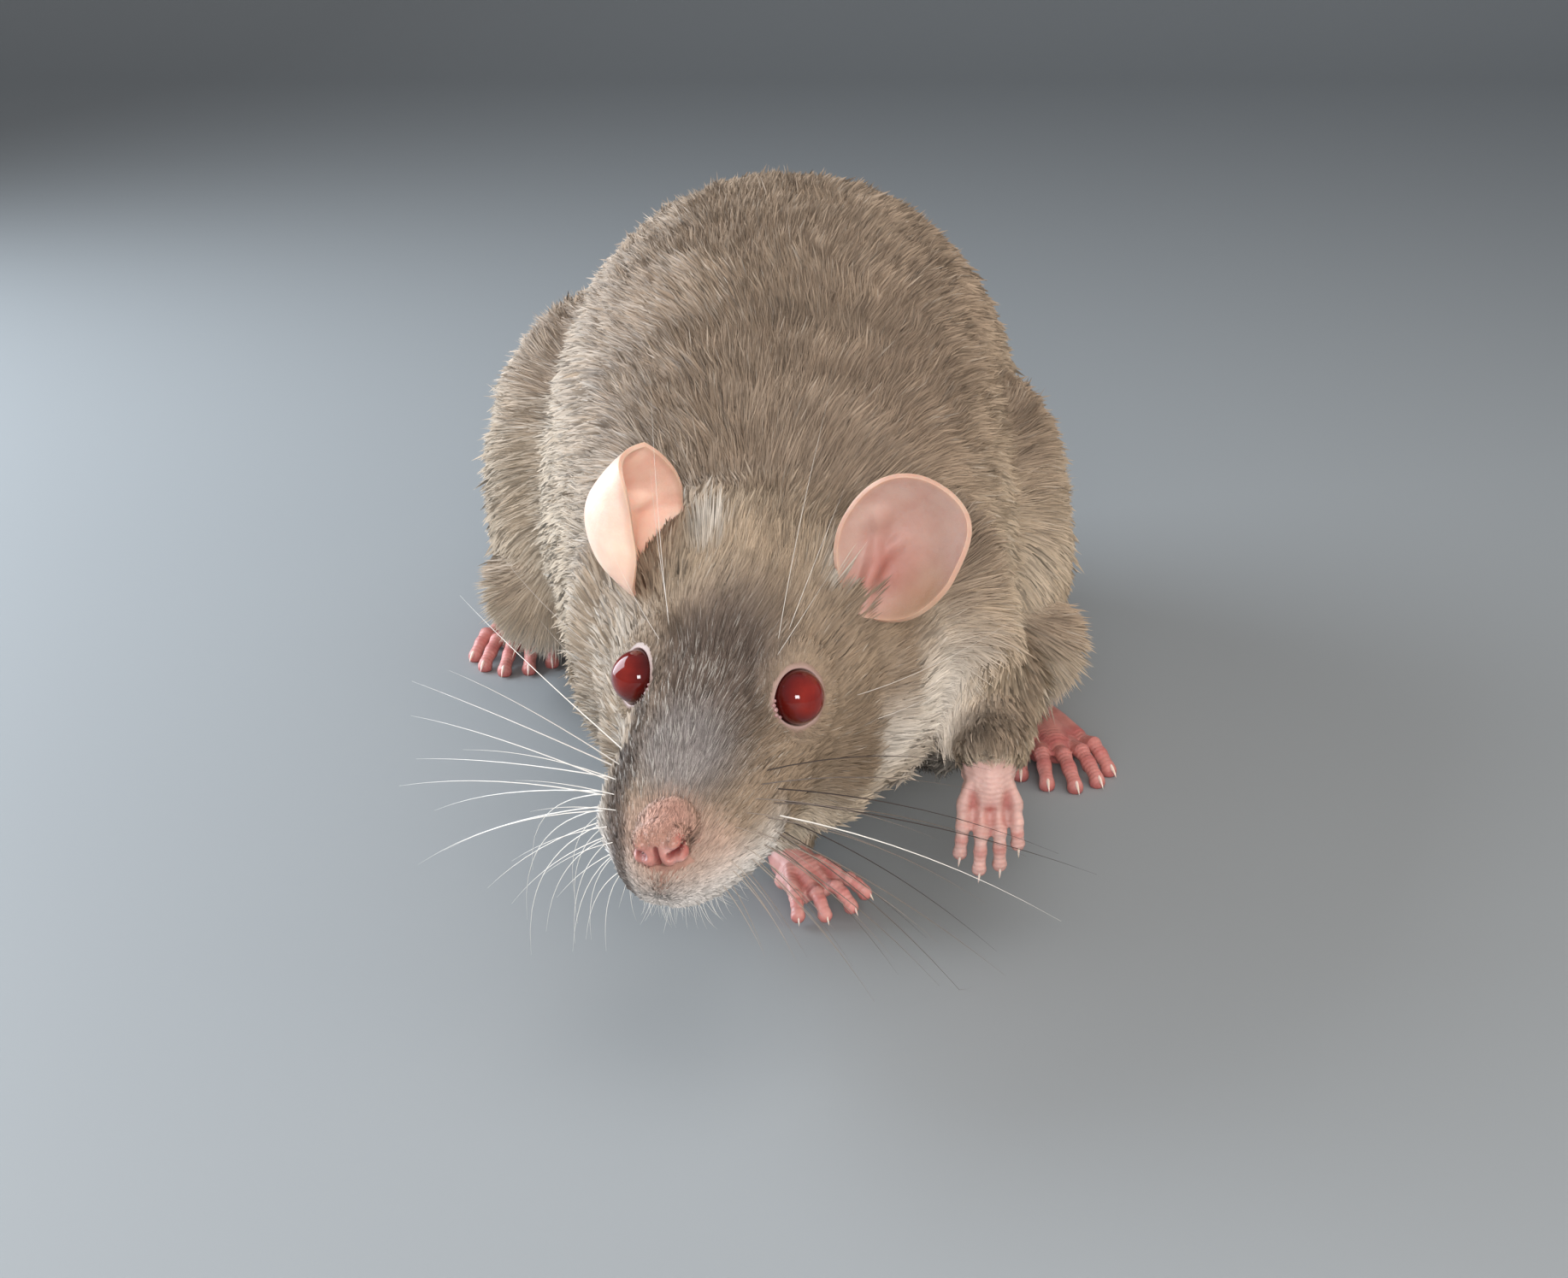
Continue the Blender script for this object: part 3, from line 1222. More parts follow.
leather, tree, shader = shader_of(
    "nose leather", Roughness=0.36, Subsurface_Weight=0.25, Subsurface_Radius=(1.0, 0.35, 0.2),
    Subsurface_Scale=0.0008,
)
cells = flake_cells(tree, 3800.0, "SMOOTH_F1")
tint(tree, shader, painted(tree), cells, 0.25, ((0.1, 1.0), (0.7, 0.72)))
bump(tree, shader, cells, 0.35, 0.00012)
finish_piece(nose, leather, "skin")

# %% Fuzz on the nose
FUZZ_TOTAL = 12000


def fuzz_density(spots, normals):
    """Thick where the nose meets the fur, thin over its top, and none on the wet lobes."""
    ahead, _, up = to_nose(to_head(workshop(spots))).T
    return 0.004 + smoothstep(28.6, 25.8, ahead) + 0.7 * smoothstep(-1.8, -0.2, up)


spots, lean = scatter(nose.data, fuzz_density, FUZZ_TOTAL, 51)
rng = np.random.default_rng(52)
spot_at = reading(spots, lean)
back_way = coat_lie(spot_at)
across = np.cross(lean, back_way)
back_way = unit(back_way + across * rng.normal(0, 0.3, FUZZ_TOTAL)[:, None])
longer = 0.55 + 1.1 * smoothstep(28.5, 25.5, spot_at["head"][:, 0])
fuzz_length = rng.uniform(0.35, 1.0, FUZZ_TOTAL) * longer
rise = np.radians(rng.uniform(12, 30, FUZZ_TOTAL))[:, None]
reach = back_way * np.cos(rise) + lean * np.sin(rise)
shade = markings(spot_at) * rng.uniform(0.6, 1.15, FUZZ_TOTAL)[:, None]
fuzz = {
    "root": spots, "tip": spots + reach * fuzz_length[:, None] * MM, "normal": lean,
    "sideways": np.cross(lean, back_way), "width": rng.uniform(0.05, 0.09, FUZZ_TOTAL),
    "length": fuzz_length, "foot": shade * 0.8, "mid": shade, "end": shade * 1.2,
}
piece = new_object("coat_nose_fuzz", blade_mesh("coat_nose_fuzz", fuzz, around(spot_at)))
finish_piece(piece, fur, "face_fur")

# %% [markdown]
# ## The ears
# A dumbo rat's ears are large round leaves set low on the sides of the head. Each is a grid
# rolled about its own length, the outer half tighter than the inner one. The left ear opens
# ahead and the right one inwards. A low fold runs up the inside, and the rim is rounded.

# %% Ear leaves
EAR = {
    RIGHT: {
        "base": (-16.0, -12.8, 2.2), "facing": (0.39, 0.89, 0.23), "lean": (-0.36, -0.16, 0.88),
        "bow": 7.2, "drop": 0.62, "outer": (15.6, 7.5), "inner": (11.6, 11.0),
        "tones": (rgb(238, 208, 190), rgb(246, 216, 194), rgb(252, 212, 180)),
    },
    LEFT: {
        "base": (-16.0, 15.3, 3.0), "facing": (0.80, 0.24, 0.50), "lean": (-0.36, 0.36, 0.85),
        "bow": 3.0, "drop": 0.0, "outer": (11.4, 7.4), "inner": (8.6, 10.0),
        "tones": (rgb(190, 160, 148), rgb(170, 140, 112), rgb(172, 108, 98)),
    },
}
EAR_EDGE = rgb(196, 164, 142)
EAR_HEIGHT = 19.5
EAR_THICKNESS, RIM_BEVEL = 0.62, 0.22
EAR_STEPS = 61


def ear_leaf(side):
    """Points, and (u, v) places across and up the leaf, on a fine grid."""
    form = EAR[side]
    steps = np.linspace(-1, 1, EAR_STEPS)
    x, y = np.meshgrid(steps, steps)
    x, y = x.ravel(), y.ravel()
    u, v = x * np.sqrt(1 - y * y / 2), y * np.sqrt(1 - x * x / 2)
    zero = from_head([(0, 0, 0)])[0]
    facing, lean = (from_head([form[key]])[0] - zero for key in ("facing", "lean"))
    lean = unit(lean)
    facing = unit(facing - lean * (facing @ lean))
    across = np.cross(lean, facing)
    outward = across if side == LEFT else -across
    centre = from_head([form["base"]])[0] + lean * EAR_HEIGHT * 0.44
    half = np.where(u > 0, form["outer"][0], form["inner"][0])
    roll = np.where(u > 0, form["outer"][1], form["inner"][1])
    low = np.maximum(-v, 0)
    roll = roll * (1 - 0.42 * low**1.5)
    angle = u * half * (1 - 0.32 * low**2) / roll
    bow = form["bow"] * (v**2 - 1) + 1.5 * np.maximum(v, 0) ** 2
    height = np.where(v > 0, v * (1 - form["drop"] * np.maximum(-u, 0)), v)
    fold = 1.1 * np.exp(-(((u + 0.28 + 0.25 * v) / 0.13) ** 2)) * smoothstep(0.45, -0.25, v)
    knob = 1.3 * np.exp(-((u + 0.42) ** 2 + (v - 0.22) ** 2) / 0.03)
    ridges = 0.8 * np.exp(-(((u + 0.02 - 0.3 * v) / 0.1) ** 2))
    ridges = ridges * smoothstep(0.25, -0.1, v) * smoothstep(-0.9, -0.5, v)
    ripple = 0.30 * np.sin(u * 8 + 1) * np.sin(v * 6 + side) * smoothstep(1, 0.5, np.hypot(u, v))
    lift = roll * (1 - np.cos(angle)) + bow + fold + knob + (ripple + ridges)
    points = centre + outward * (roll * np.sin(angle))[:, None]
    points = points + lean * (height * EAR_HEIGHT / 2)[:, None] + facing * lift[:, None]
    return points, u, v


def ear_mesh(side):
    points, u, v = ear_leaf(side)
    name = f"ear_leaf_{WORD[side]}"
    n = EAR_STEPS
    cells = [i * n + j for i in range(n - 1) for j in range(n - 1)]
    mesh = bpy.data.meshes.new(name)
    mesh.from_pydata(place(points).tolist(), [], [(k, k + 1, k + n + 1, k + n) for k in cells])
    middle, low, heart = EAR[side]["tones"]
    shade = smoothstep(-0.1, 0.75, u) * smoothstep(0.35, -0.5, v)
    warm = np.exp(-(((u + 0.05) / 0.42) ** 2 + ((v + 0.35) / 0.5) ** 2))
    tones = np.tile(middle, (len(u), 1))
    tones = toward(tones, low, shade * 0.9)
    tones = toward(tones, heart, warm * 0.75)
    tones = toward(tones, EAR_EDGE, smoothstep(0.92, 1.0, np.hypot(u, v)) * 0.6)
    colour_points(mesh, tones)
    obj = new_object(name, mesh)
    wall = obj.modifiers.new("Wall", "SOLIDIFY")
    wall.thickness = EAR_THICKNESS * MM
    wall.offset = 0
    soft = obj.modifiers.new("Round the rim", "BEVEL")
    soft.width = RIM_BEVEL * MM
    soft.segments = 2
    soft.angle_limit = math.radians(50)
    applied(obj)
    bm = bmesh.new()
    bm.from_mesh(obj.data)
    bmesh.ops.recalc_face_normals(bm, faces=bm.faces)
    bm.to_mesh(obj.data)
    bm.free()
    obj.data.shade_smooth()
    return obj


ear_skin, tree, shader = shader_of(
    "ear skin", Roughness=0.5, Subsurface_Weight=0.45, Subsurface_Radius=(1.0, 0.45, 0.3),
    Subsurface_Scale=0.0012,
)
tint(tree, shader, painted(tree), grain(tree, 260, 4), 0.35, ((0.35, rgb(232, 196, 186)), (0.65, 1.0)))
bump(tree, shader, grain(tree, 3000, 3), 0.35, 0.00012)
for side in (RIGHT, LEFT):
    finish_piece(ear_mesh(side), ear_skin, "ear_skin", f"ear_{WORD[side]}")

# %% [markdown]
# ## The paws
# The forepaws have four digits and the hind feet five. Each foot is pressed from lumps like
# the nose: a palm with pads, long bones that show under the skin, two joints to a digit and
# a fleshy ball at its end. The claws are separate curved cones of pale horn.

# %% Paw helpers
def axes_of(forward, up):
    """Columns: forward, left and up, square to one another."""
    x = unit(np.array(forward, float))
    y = unit(np.cross(np.array(up, float), x))
    return np.stack([x, y, np.cross(x, y)], axis=1)


def turned(axes):
    return Matrix(axes.tolist()).to_4x4()


def digit_clay(bm, root, knuckle, tip, up, radius):
    """One digit with two joints, a pad under each and a ball at the end."""
    middle = knuckle + (tip - knuckle) * 0.45 + up * radius * 0.12
    spots = [
        root, (root + knuckle) / 2 - up * 0.05 * radius, knuckle, (knuckle + middle) / 2, middle,
        (middle + tip) / 2, tip,
    ]
    limb_clay(bm, spots, DIGIT_SWELLS * radius)
    ball_mesh(bm, tip - up * radius * 0.28, (radius * 1.05,) * 3, segments=14)
    ball_mesh(bm, middle - up * radius * 0.45, (radius * 0.85,) * 3, segments=12)


def claw_rings(tip, way, up, length, radius):
    """A curved cone: it leaves the top of the digit and bends down to a point."""
    cosines, sines = circle(CLAW_SIDES)
    rows = []
    for i in range(CLAW_RINGS + 1):
        t = i / CLAW_RINGS
        hump = radius * 0.9 + 0.25 * length * t - 0.75 * length * t * t
        spot = tip + way * (length * t - 0.35) + up * hump
        bend = unit(way + up * (0.25 - 1.5 * t))
        side = unit(np.cross(up, bend))
        high = np.cross(bend, side)
        thick = radius * (1 - t) ** 0.7 + 0.02
        rows.append(place(spot + thick * (0.75 * cosines[:, None] * side + sines[:, None] * high)))
    return rows


def claws_of(name, claws):
    """All claws of a paw as one piece."""
    bm = bmesh.new()
    for rings in claws:
        loft(bm, rings)
    mesh = mesh_of(bm, name, face_out=True)
    mesh.shade_smooth()
    finish_piece(new_object(name, mesh), horn, "skin")


def finish_paw(name, bm, bones, creases, flesh_tone, crease_tone):
    """Presses a paw, sinks the creases between its digits, and stands and colours it.

    Each bone has its start, its stop and the reach of its flesh, and each crease its start,
    its stop and the way that it sinks.
    """
    paw = clay(name, bm, PAW_VOXEL, PAW_SMOOTHINGS)
    co = workshop(read_points(paw.data))
    near_crease = np.zeros(len(co))
    for start, stop, down in creases:
        near = np.exp(-((on_segment(co, start, stop)[0] / CREASE_WIDTH) ** 2))
        co += near[:, None] * down * CREASE_DEPTH
        near_crease = np.maximum(near_crease, near)
    co[:, 2] = np.where(co[:, 2] < SOLE, SOLE - (SOLE - co[:, 2]) * 0.5, co[:, 2])
    co[:, 2] = np.maximum(co[:, 2], FLOOR)
    write_points(paw.data, place(co))
    far = np.full(len(co), 1e9)
    gap = np.full(len(co), 1e9)
    along = np.zeros(len(co))
    for start, stop, reach in bones:
        near, t = on_segment(co, start, stop)
        far = np.minimum(far, near / reach)
        along = np.where(near < gap, t * np.linalg.norm(np.array(stop) - np.array(start)), along)
        gap = np.minimum(gap, near)
    between = smoothstep(0.75, 1.15, far) * (1 - smoothstep(1.3, 2.2, far))
    tone = np.tile(flesh_tone, (len(co), 1))
    tone = toward(tone, crease_tone, between * 0.7)
    tone = toward(tone, crease_tone, smoothstep(-0.1, -0.9, read_normals(paw.data)[:, 2]) * 0.4)
    tone = toward(tone, crease_tone, near_crease * 0.8)
    tone *= (1 + 0.07 * waves(co, 3.2, 5))[:, None]
    colour_points(paw.data, tone)
    folds = paw.data.attributes.new("folds", "FLOAT", "POINT")
    folds.data.foreach_set("value", along.astype(np.float32))
    finish_piece(paw, paw_skin, "skin", name)


DIGIT_SWELLS = np.array([1.1, 0.95, 1.08, 0.86, 0.98, 0.84, 0.92])
CLAW_RINGS, CLAW_SIDES = 8, 10
PAW_VOXEL, PAW_SMOOTHINGS = 0.3, 3
CREASE_WIDTH, CREASE_DEPTH = 0.8, 0.6
SOLE = 0.35
FLOOR = workshop([[0, 0, cad_box[0][2]]])[0][2]
FOLDS_PER_MM = 9.0

# %% Paw skin and claw horn
paw_skin, tree, shader = shader_of(
    "paw skin", Roughness=0.42, Subsurface_Weight=0.25, Subsurface_Radius=(1.0, 0.45, 0.3),
    Subsurface_Scale=0.0009,
)
pores = grain(tree, 1900, 4)
tint(tree, shader, painted(tree), pores, 0.3, ((0.35, (0.8, 0.68, 0.66)), (0.65, 1.0)))
ring = add_node(tree, "ShaderNodeMath", operation="MULTIPLY")
tree.links.new(add_node(tree, "ShaderNodeAttribute", attribute_name="folds").outputs["Fac"], ring.inputs[0])
ring.inputs[1].default_value = FOLDS_PER_MM
wave = add_node(tree, "ShaderNodeMath", operation="SINE")
tree.links.new(ring.outputs[0], wave.inputs[0])
height = add_node(tree, "ShaderNodeMath", operation="MULTIPLY_ADD")
tree.links.new(wave.outputs[0], height.inputs[0])
height.inputs[1].default_value = 0.5
tree.links.new(pores, height.inputs[2])
bump(tree, shader, height.outputs[0], 0.4, 0.00012)
horn = shader_of(
    "claw horn", Base_Color=(*rgb(226, 202, 190), 1), Roughness=0.25, Subsurface_Weight=0.3,
    Subsurface_Scale=0.0006,
)[0]

# %% Forepaws
# Each digit has its place across the palm, its length and how high its knuckle stands.
PALM_AHEAD, DIGIT_GAP = 4.0, 2.2
HEEL_PAD, DIGIT_PAD = (1.6, 1.5, 1.2), (1.5, 1.2, 1.1)
FOREPAWS = {
    RIGHT: {
        "wrist": (1.3, -32.6, 4.9), "way": (0.50, -0.84, -0.16), "up": (0, -0.2, 1), "spread": 0.30,
        "digits": ((-1.5, 4.6, 0.5), (-0.5, 6.0, 0.9), (0.5, 6.2, 0.9), (1.5, 4.8, 0.5)),
        "palm": (4.5, 4.1, 2.2), "cuff": (3.0, 3.0, 2.6), "thick": 1.02, "claw": 1.9,
        "tones": (rgb(208, 152, 144), rgb(178, 96, 92)),
    },
    LEFT: {
        "wrist": RAISED_WRIST, "way": RAISED_WAY, "up": (0, -1, 0.4), "spread": 0.06,
        "digits": ((-1.5, 6.2, 0.6), (-0.5, 8.3, 1.2), (0.5, 7.7, 1.2), (1.5, 5.0, 0.6)),
        "palm": (3.2, 3.8, 1.6), "cuff": (3.2, 3.8, 3.0), "thick": 1.0, "claw": 2.4,
        "tones": (rgb(200, 164, 155), rgb(170, 92, 84)),
    },
}
for side, form in FOREPAWS.items():
    axes = axes_of(form["way"], form["up"])
    x, y, z = axes.T
    wrist = np.array(form["wrist"])
    palm = wrist + x * PALM_AHEAD
    bm = bmesh.new()
    ball_mesh(bm, palm - z * 0.2, form["palm"], turned(axes))
    limb_clay(bm, [wrist - x * 1.5, wrist, palm], form["cuff"])
    for across in (-1, 1):
        ball_mesh(bm, palm - x * 2.6 + y * 2.2 * across - z * 1.5, HEEL_PAD, turned(axes), 14)
    bones, claws = [], []
    for slot, length, lift in form["digits"]:
        root = palm + x * 1.8 + y * slot * DIGIT_GAP
        heading = unit(x + y * slot * form["spread"])
        knuckle = root + heading * length * 0.5 + z * lift
        tip = root + heading * length - z * 0.5
        foot = wrist + x * 1.6 + y * slot * 0.9 + z * 0.7
        middle = (wrist + root) / 2 + z * 1.1 + y * slot * 0.3
        limb_clay(bm, [foot, middle, root + z * 0.5], [1.15, 1.1, 1.25])
        digit_clay(bm, root, knuckle, tip, z, form["thick"])
        bones += [(foot, root, 3.6), (root, knuckle, 1.1), (knuckle, tip, 1.0)]
        claws.append(claw_rings(tip, unit(heading - z * 0.3), z, form["claw"], 0.42))
    creases = []
    for slot in (-1, 0, 1):
        ball_mesh(bm, palm + x * 1.9 + y * slot * DIGIT_GAP - z * 1.2, DIGIT_PAD, turned(axes), 14)
        start = palm + x * 0.4 + y * slot * DIGIT_GAP + z * 1.5
        creases.append((start, start + x * 3.4, -z))
    finish_paw(f"forepaw_{WORD[side]}", bm, bones, creases, *form["tones"])
    claws_of(f"claws_forepaw_{WORD[side]}", claws)

# %% Hind feet
HIND_DIGITS = ((-2, 7.5), (-1, 11.0), (0, 12.0), (1, 11.4), (2, 8.5))
HINDPAWS = {RIGHT: ((-42, 87, 8), (-47.5, 51, 0)), LEFT: ((37, 37, 8), (45.5, -5, 0))}
HIND_TONES = rgb(198, 134, 126), rgb(166, 84, 82)
HEEL_HEIGHT, TIP_HEIGHT, FOOT_LENGTH = 3.2, 1.5, 21
HIND_GAP, INSTEP_BALL, HIND_PAD = 2.35, (5.8, 5.4, 2.5), (1.7, 1.3, 1.2)
for side, (heel, toes) in HINDPAWS.items():
    heel, toes = np.array(heel, float), np.array(toes, float)
    ahead = unit(np.array([toes[0] - heel[0], toes[1] - heel[1], 0]))
    left, up = np.cross([0, 0, 1], ahead), np.array([0, 0, 1.0])
    low = np.array([heel[0], heel[1], HEEL_HEIGHT])
    instep = low + ahead * FOOT_LENGTH
    turn = turned(np.stack([ahead, left, up], axis=1))
    bm = bmesh.new()
    limb_clay(bm, [low - ahead, low + ahead * 9, instep, instep + ahead * 4], [2.7, 3.2, 3.3, 2.6])
    limb_clay(bm, [low + ahead, (low + heel) / 2 + ahead * 0.5, heel], [3.1, 3.2, 3.4])
    ball_mesh(bm, instep - up * 0.3, INSTEP_BALL, turn)
    bones, claws = [], []
    for slot, length in HIND_DIGITS:
        root = instep + ahead * (2.6 - 0.7 * abs(slot)) + left * slot * HIND_GAP
        heading = unit(ahead + left * slot * 0.14)
        knuckle = root + heading * length * 0.5 + up * 0.7
        tip = root + heading * length
        tip[2] = TIP_HEIGHT
        foot = low + ahead * 8 + left * slot * 0.8 + up * 1.2
        middle = instep - ahead * 5 + left * slot * 1.6 + up * 1.3
        limb_clay(bm, [foot, middle, root + up * 0.4], [1.3, 1.25, 1.35])
        digit_clay(bm, root, knuckle, tip, up, 1.25)
        ball_mesh(bm, root + ahead * 0.6 - up * 1.4, HIND_PAD, turn, 14)
        bones += [(root, knuckle, 1.35), (knuckle, tip, 1.25)]
        claws.append(claw_rings(tip, heading, up, 2.5, 0.55))
    finish_paw(f"hindpaw_{WORD[side]}", bm, bones, [], *HIND_TONES)
    claws_of(f"claws_hindpaw_{WORD[side]}", claws)

# %% [markdown]
# ## The tail
# The tail lies on the floor in a lazy curve. Its scales sit in rings, about one to a
# millimetre, and fine bristles come out between them. Both follow the tail's path, so they
# are grown by node trees: one turns the path into a ringed tube, the other roots bristles on
# the tube. The trees are turned into plain meshes at the end.

# %% Node tree helpers
def tree_with(name, **kinds):
    """An empty node tree that takes a mesh, a material and named inputs of the given kinds."""
    tree = bpy.data.node_groups.new(name, "GeometryNodeTree")
    tree.interface.new_socket("Geometry", in_out="INPUT", socket_type="NodeSocketGeometry")
    for title, kind in (*kinds.items(), ("Material", "Material")):
        tree.interface.new_socket(title, in_out="INPUT", socket_type=f"NodeSocket{kind}")
    tree.interface.new_socket("Geometry", in_out="OUTPUT", socket_type="NodeSocketGeometry")
    return tree, tree.nodes.new("NodeGroupInput"), tree.nodes.new("NodeGroupOutput")


def geometry_node(tree, kind, links=None, **settings):
    """A node with settings, and its inputs linked to sockets or set to values."""
    node = tree.nodes.new(kind)
    for key, value in settings.items():
        setattr(node, key, value)
    for key, value in (links or {}).items():
        socket = node.inputs[key]
        if hasattr(value, "is_linked"):
            tree.links.new(value, socket)
        else:
            socket.default_value = value
    return node


def math_node(tree, operation, first, second=0.0, third=0.0):
    links = {0: first, 1: second, 2: third}
    return geometry_node(tree, "ShaderNodeMath", links, operation=operation).outputs[0]


def attribute_node(tree, name, kind="FLOAT"):
    node = geometry_node(tree, "GeometryNodeInputNamedAttribute", {"Name": name}, data_type=kind)
    return node.outputs["Attribute"]


def even_curve(tree, source, steps):
    """The input's polylines as curves of evenly spaced points."""
    path = geometry_node(tree, "GeometryNodeMeshToCurve", {"Mesh": source.outputs["Geometry"]})
    links = {"Curve": path.outputs[0], "Count": steps}
    return geometry_node(tree, "GeometryNodeResampleCurve", links, mode="COUNT").outputs[0]


def tube_on(tree, curve, sides, thick):
    """A closed tube round a curve, as thick as a socket says."""
    profile = geometry_node(tree, "GeometryNodeCurvePrimitiveCircle", {"Resolution": sides, "Radius": 1.0})
    links = {"Curve": curve, "Profile Curve": profile.outputs[0], "Scale": thick, "Fill Caps": True}
    return geometry_node(tree, "GeometryNodeCurveToMesh", links).outputs[0]


def end_tree(tree, geometry, source, result):
    """Every tree ends with its instances made real and its material set."""
    real = geometry_node(tree, "GeometryNodeRealizeInstances", {"Geometry": geometry})
    links = {"Geometry": real.outputs[0], "Material": source.outputs["Material"]}
    done = geometry_node(tree, "GeometryNodeSetMaterial", links)
    tree.links.new(done.outputs[0], result.inputs[0])


def grown(obj, tree, **values):
    """Runs a node tree on an object and keeps the result as its plain mesh."""
    step = obj.modifiers.new(tree.name, "NODES")
    step.node_group = tree
    for item in tree.interface.items_tree:
        if item.in_out == "INPUT" and item.name in values:
            step[item.identifier] = values[item.name]
    return applied(obj)


def path_host(name, routes, **attributes):
    """A mesh of polylines, one to each route of points in metres, with point attributes."""
    verts, edges = [], []
    for route in routes:
        first = len(verts)
        verts += [tuple(point) for point in route]
        edges += [(first + i, first + i + 1) for i in range(len(route) - 1)]
    mesh = bpy.data.meshes.new(name)
    mesh.from_pydata(verts, edges, [])
    for title, values in attributes.items():
        layer = mesh.attributes.new(title, "FLOAT", "POINT")
        layer.data.foreach_set("value", np.asarray(values, dtype=np.float32))
    return new_object(name, mesh)


# %% Grow the tail
TAIL_KNOTS = (
    (3.2, 112, 27), (3.2, 118, 21), (4, 128, 12), (6, 142, 5.6), (10, 165, 4.2), (16, 192, 3.4),
    (17, 220, 2.6), (9, 246, 1.9), (-6, 266, 1.2),
)
TAIL_ROOT_RADIUS, TAIL_TIP_RADIUS = 5.0, 0.9


def smooth_route(knots, count):
    """Evenly numbered points on a Catmull-Rom curve through knots."""
    knots = np.array(knots, float)
    padded = np.vstack([2 * knots[0] - knots[1], knots, 2 * knots[-1] - knots[-2]])
    spots = np.linspace(0, len(knots) - 1, count)
    i = np.minimum(spots.astype(int), len(knots) - 2)
    t = (spots - i)[:, None]
    a, b, c, d = (padded[i + k] for k in range(4))
    return 0.5 * (2 * b + (c - a) * t + (2 * a - 5 * b + 4 * c - d) * t**2 + (3 * b - a - 3 * c + d) * t**3)


tail_skin, tree, shader = shader_of("tail skin", Roughness=0.5)
flakes = flake_cells(tree, 1500.0)
patches = ramp(tree, grain(tree, 130, 3), ((0.35, rgb(196, 160, 150)), (0.6, rgb(214, 178, 166))))
tint(tree, shader, patches, flakes, 0.8, ((0.15, 1.0), (0.75, 0.62)))
bump(tree, shader, flakes, 0.4, -0.0002)

ringed, source, result = tree_with("ringed tube", **{"Ring pitch": "Float", "Ring step": "Float"})
even = even_curve(ringed, source, 900)
along = geometry_node(ringed, "GeometryNodeSplineParameter").outputs["Length"]
saw = math_node(ringed, "FRACT", math_node(ringed, "DIVIDE", along, source.outputs["Ring pitch"]))
swell = math_node(ringed, "MULTIPLY_ADD", saw, source.outputs["Ring step"], 1.0)
thick = math_node(ringed, "MULTIPLY", attribute_node(ringed, "thick"), swell)
tangent = geometry_node(ringed, "GeometryNodeInputTangent").outputs[0]
stored = geometry_node(
    ringed, "GeometryNodeStoreNamedAttribute", {"Geometry": even, "Name": "way", "Value": tangent},
    data_type="FLOAT_VECTOR",
)
end_tree(ringed, tube_on(ringed, stored.outputs[0], 26, thick), source, result)

ROUTE_STEPS = 60
RING_PITCH, RING_STEP = 1.0, 0.06
route = smooth_route(TAIL_KNOTS, ROUTE_STEPS)
share = np.clip((np.linspace(0, len(TAIL_KNOTS) - 1, ROUTE_STEPS) - 1) / (len(TAIL_KNOTS) - 2), 0, 1)
radii = TAIL_ROOT_RADIUS + (TAIL_TIP_RADIUS - TAIL_ROOT_RADIUS) * share**0.8
tail = path_host("tail", [place(route)], thick=radii * MM * 0.97)
grown(tail, ringed, **{"Ring pitch": RING_PITCH * MM, "Ring step": RING_STEP, "Material": tail_skin})


def rest_on_floor(obj):
    co = workshop(read_points(obj.data))
    co[:, 2] = np.maximum(co[:, 2], FLOOR)
    write_points(obj.data, place(co))


rest_on_floor(tail)

# %% Root bristles on it
BRISTLE_LENGTH, BRISTLE_RADII = 1.7, (0.035, 0.004)
BRISTLES_PER_SQUARE_METRE = 2.2e6
HAIR_TONES = ((0.0, rgb(236, 230, 222)), (0.5, rgb(168, 152, 138)), (1.0, rgb(58, 48, 44)))
bristled, source, result = tree_with("bristles", Length="Float", Density="Float", Seed="Int")
spread = geometry_node(
    bristled, "GeometryNodeDistributePointsOnFaces",
    {"Mesh": source.outputs["Geometry"], **{key: source.outputs[key] for key in ("Density", "Seed")}},
)
rise = geometry_node(
    bristled, "ShaderNodeVectorMath", {0: spread.outputs["Normal"], "Scale": 0.42}, operation="SCALE"
)
lean = geometry_node(
    bristled, "ShaderNodeVectorMath",
    {0: rise.outputs[0], 1: attribute_node(bristled, "way", "FLOAT_VECTOR")}, operation="ADD",
)
turn = geometry_node(bristled, "FunctionNodeAlignRotationToVector", {"Vector": lean.outputs[0]}, axis="Z")
foot, tip = BRISTLE_RADII
cone = geometry_node(bristled, "GeometryNodeMeshCone", {
    "Vertices": 4, "Radius Top": tip * MM, "Radius Bottom": foot * MM, "Depth": source.outputs["Length"],
})
sizes = geometry_node(
    bristled, "FunctionNodeRandomValue", {2: 0.6, 3: 1.3, "Seed": source.outputs["Seed"]}, data_type="FLOAT"
)
planted = geometry_node(bristled, "GeometryNodeInstanceOnPoints", {
    "Points": spread.outputs["Points"], "Instance": cone.outputs["Mesh"],
    "Rotation": turn.outputs[0], "Scale": sizes.outputs[1],
})
end_tree(bristled, planted.outputs[0], source, result)

hair, tree, shader = shader_of("pale hair", Roughness=0.3)
tone = add_node(tree, "ShaderNodeAttribute", attribute_name="tone").outputs["Fac"]
tree.links.new(ramp(tree, tone, HAIR_TONES), shader.inputs["Base Color"])
bristles = new_object("tail_bristles", tail.data.copy())
looks = {"Length": BRISTLE_LENGTH * MM, "Density": BRISTLES_PER_SQUARE_METRE, "Seed": 4, "Material": hair}
grown(bristles, bristled, **looks)
rest_on_floor(bristles)
TAIL_NODES = ("tail_root", "tail_middle", "tail_rear", "tail_tip")
for obj, material, nodes in ((tail, tail_skin, TAIL_NODES), (bristles, hair, ())):
    obj.data.attributes.remove(obj.data.attributes["way"])
    finish_piece(obj, material, "tail_skin", *nodes)

# %% [markdown]
# ## Whiskers
# The long whiskers stand on the pads beside the nose in five rows. The hindmost are the
# longest and sweep back, and the front ones are short and curl down. Three more grow over
# each eye and two on each cheek, and fine pale hairs hang from the chin. One node tree gives
# every hair its taper.

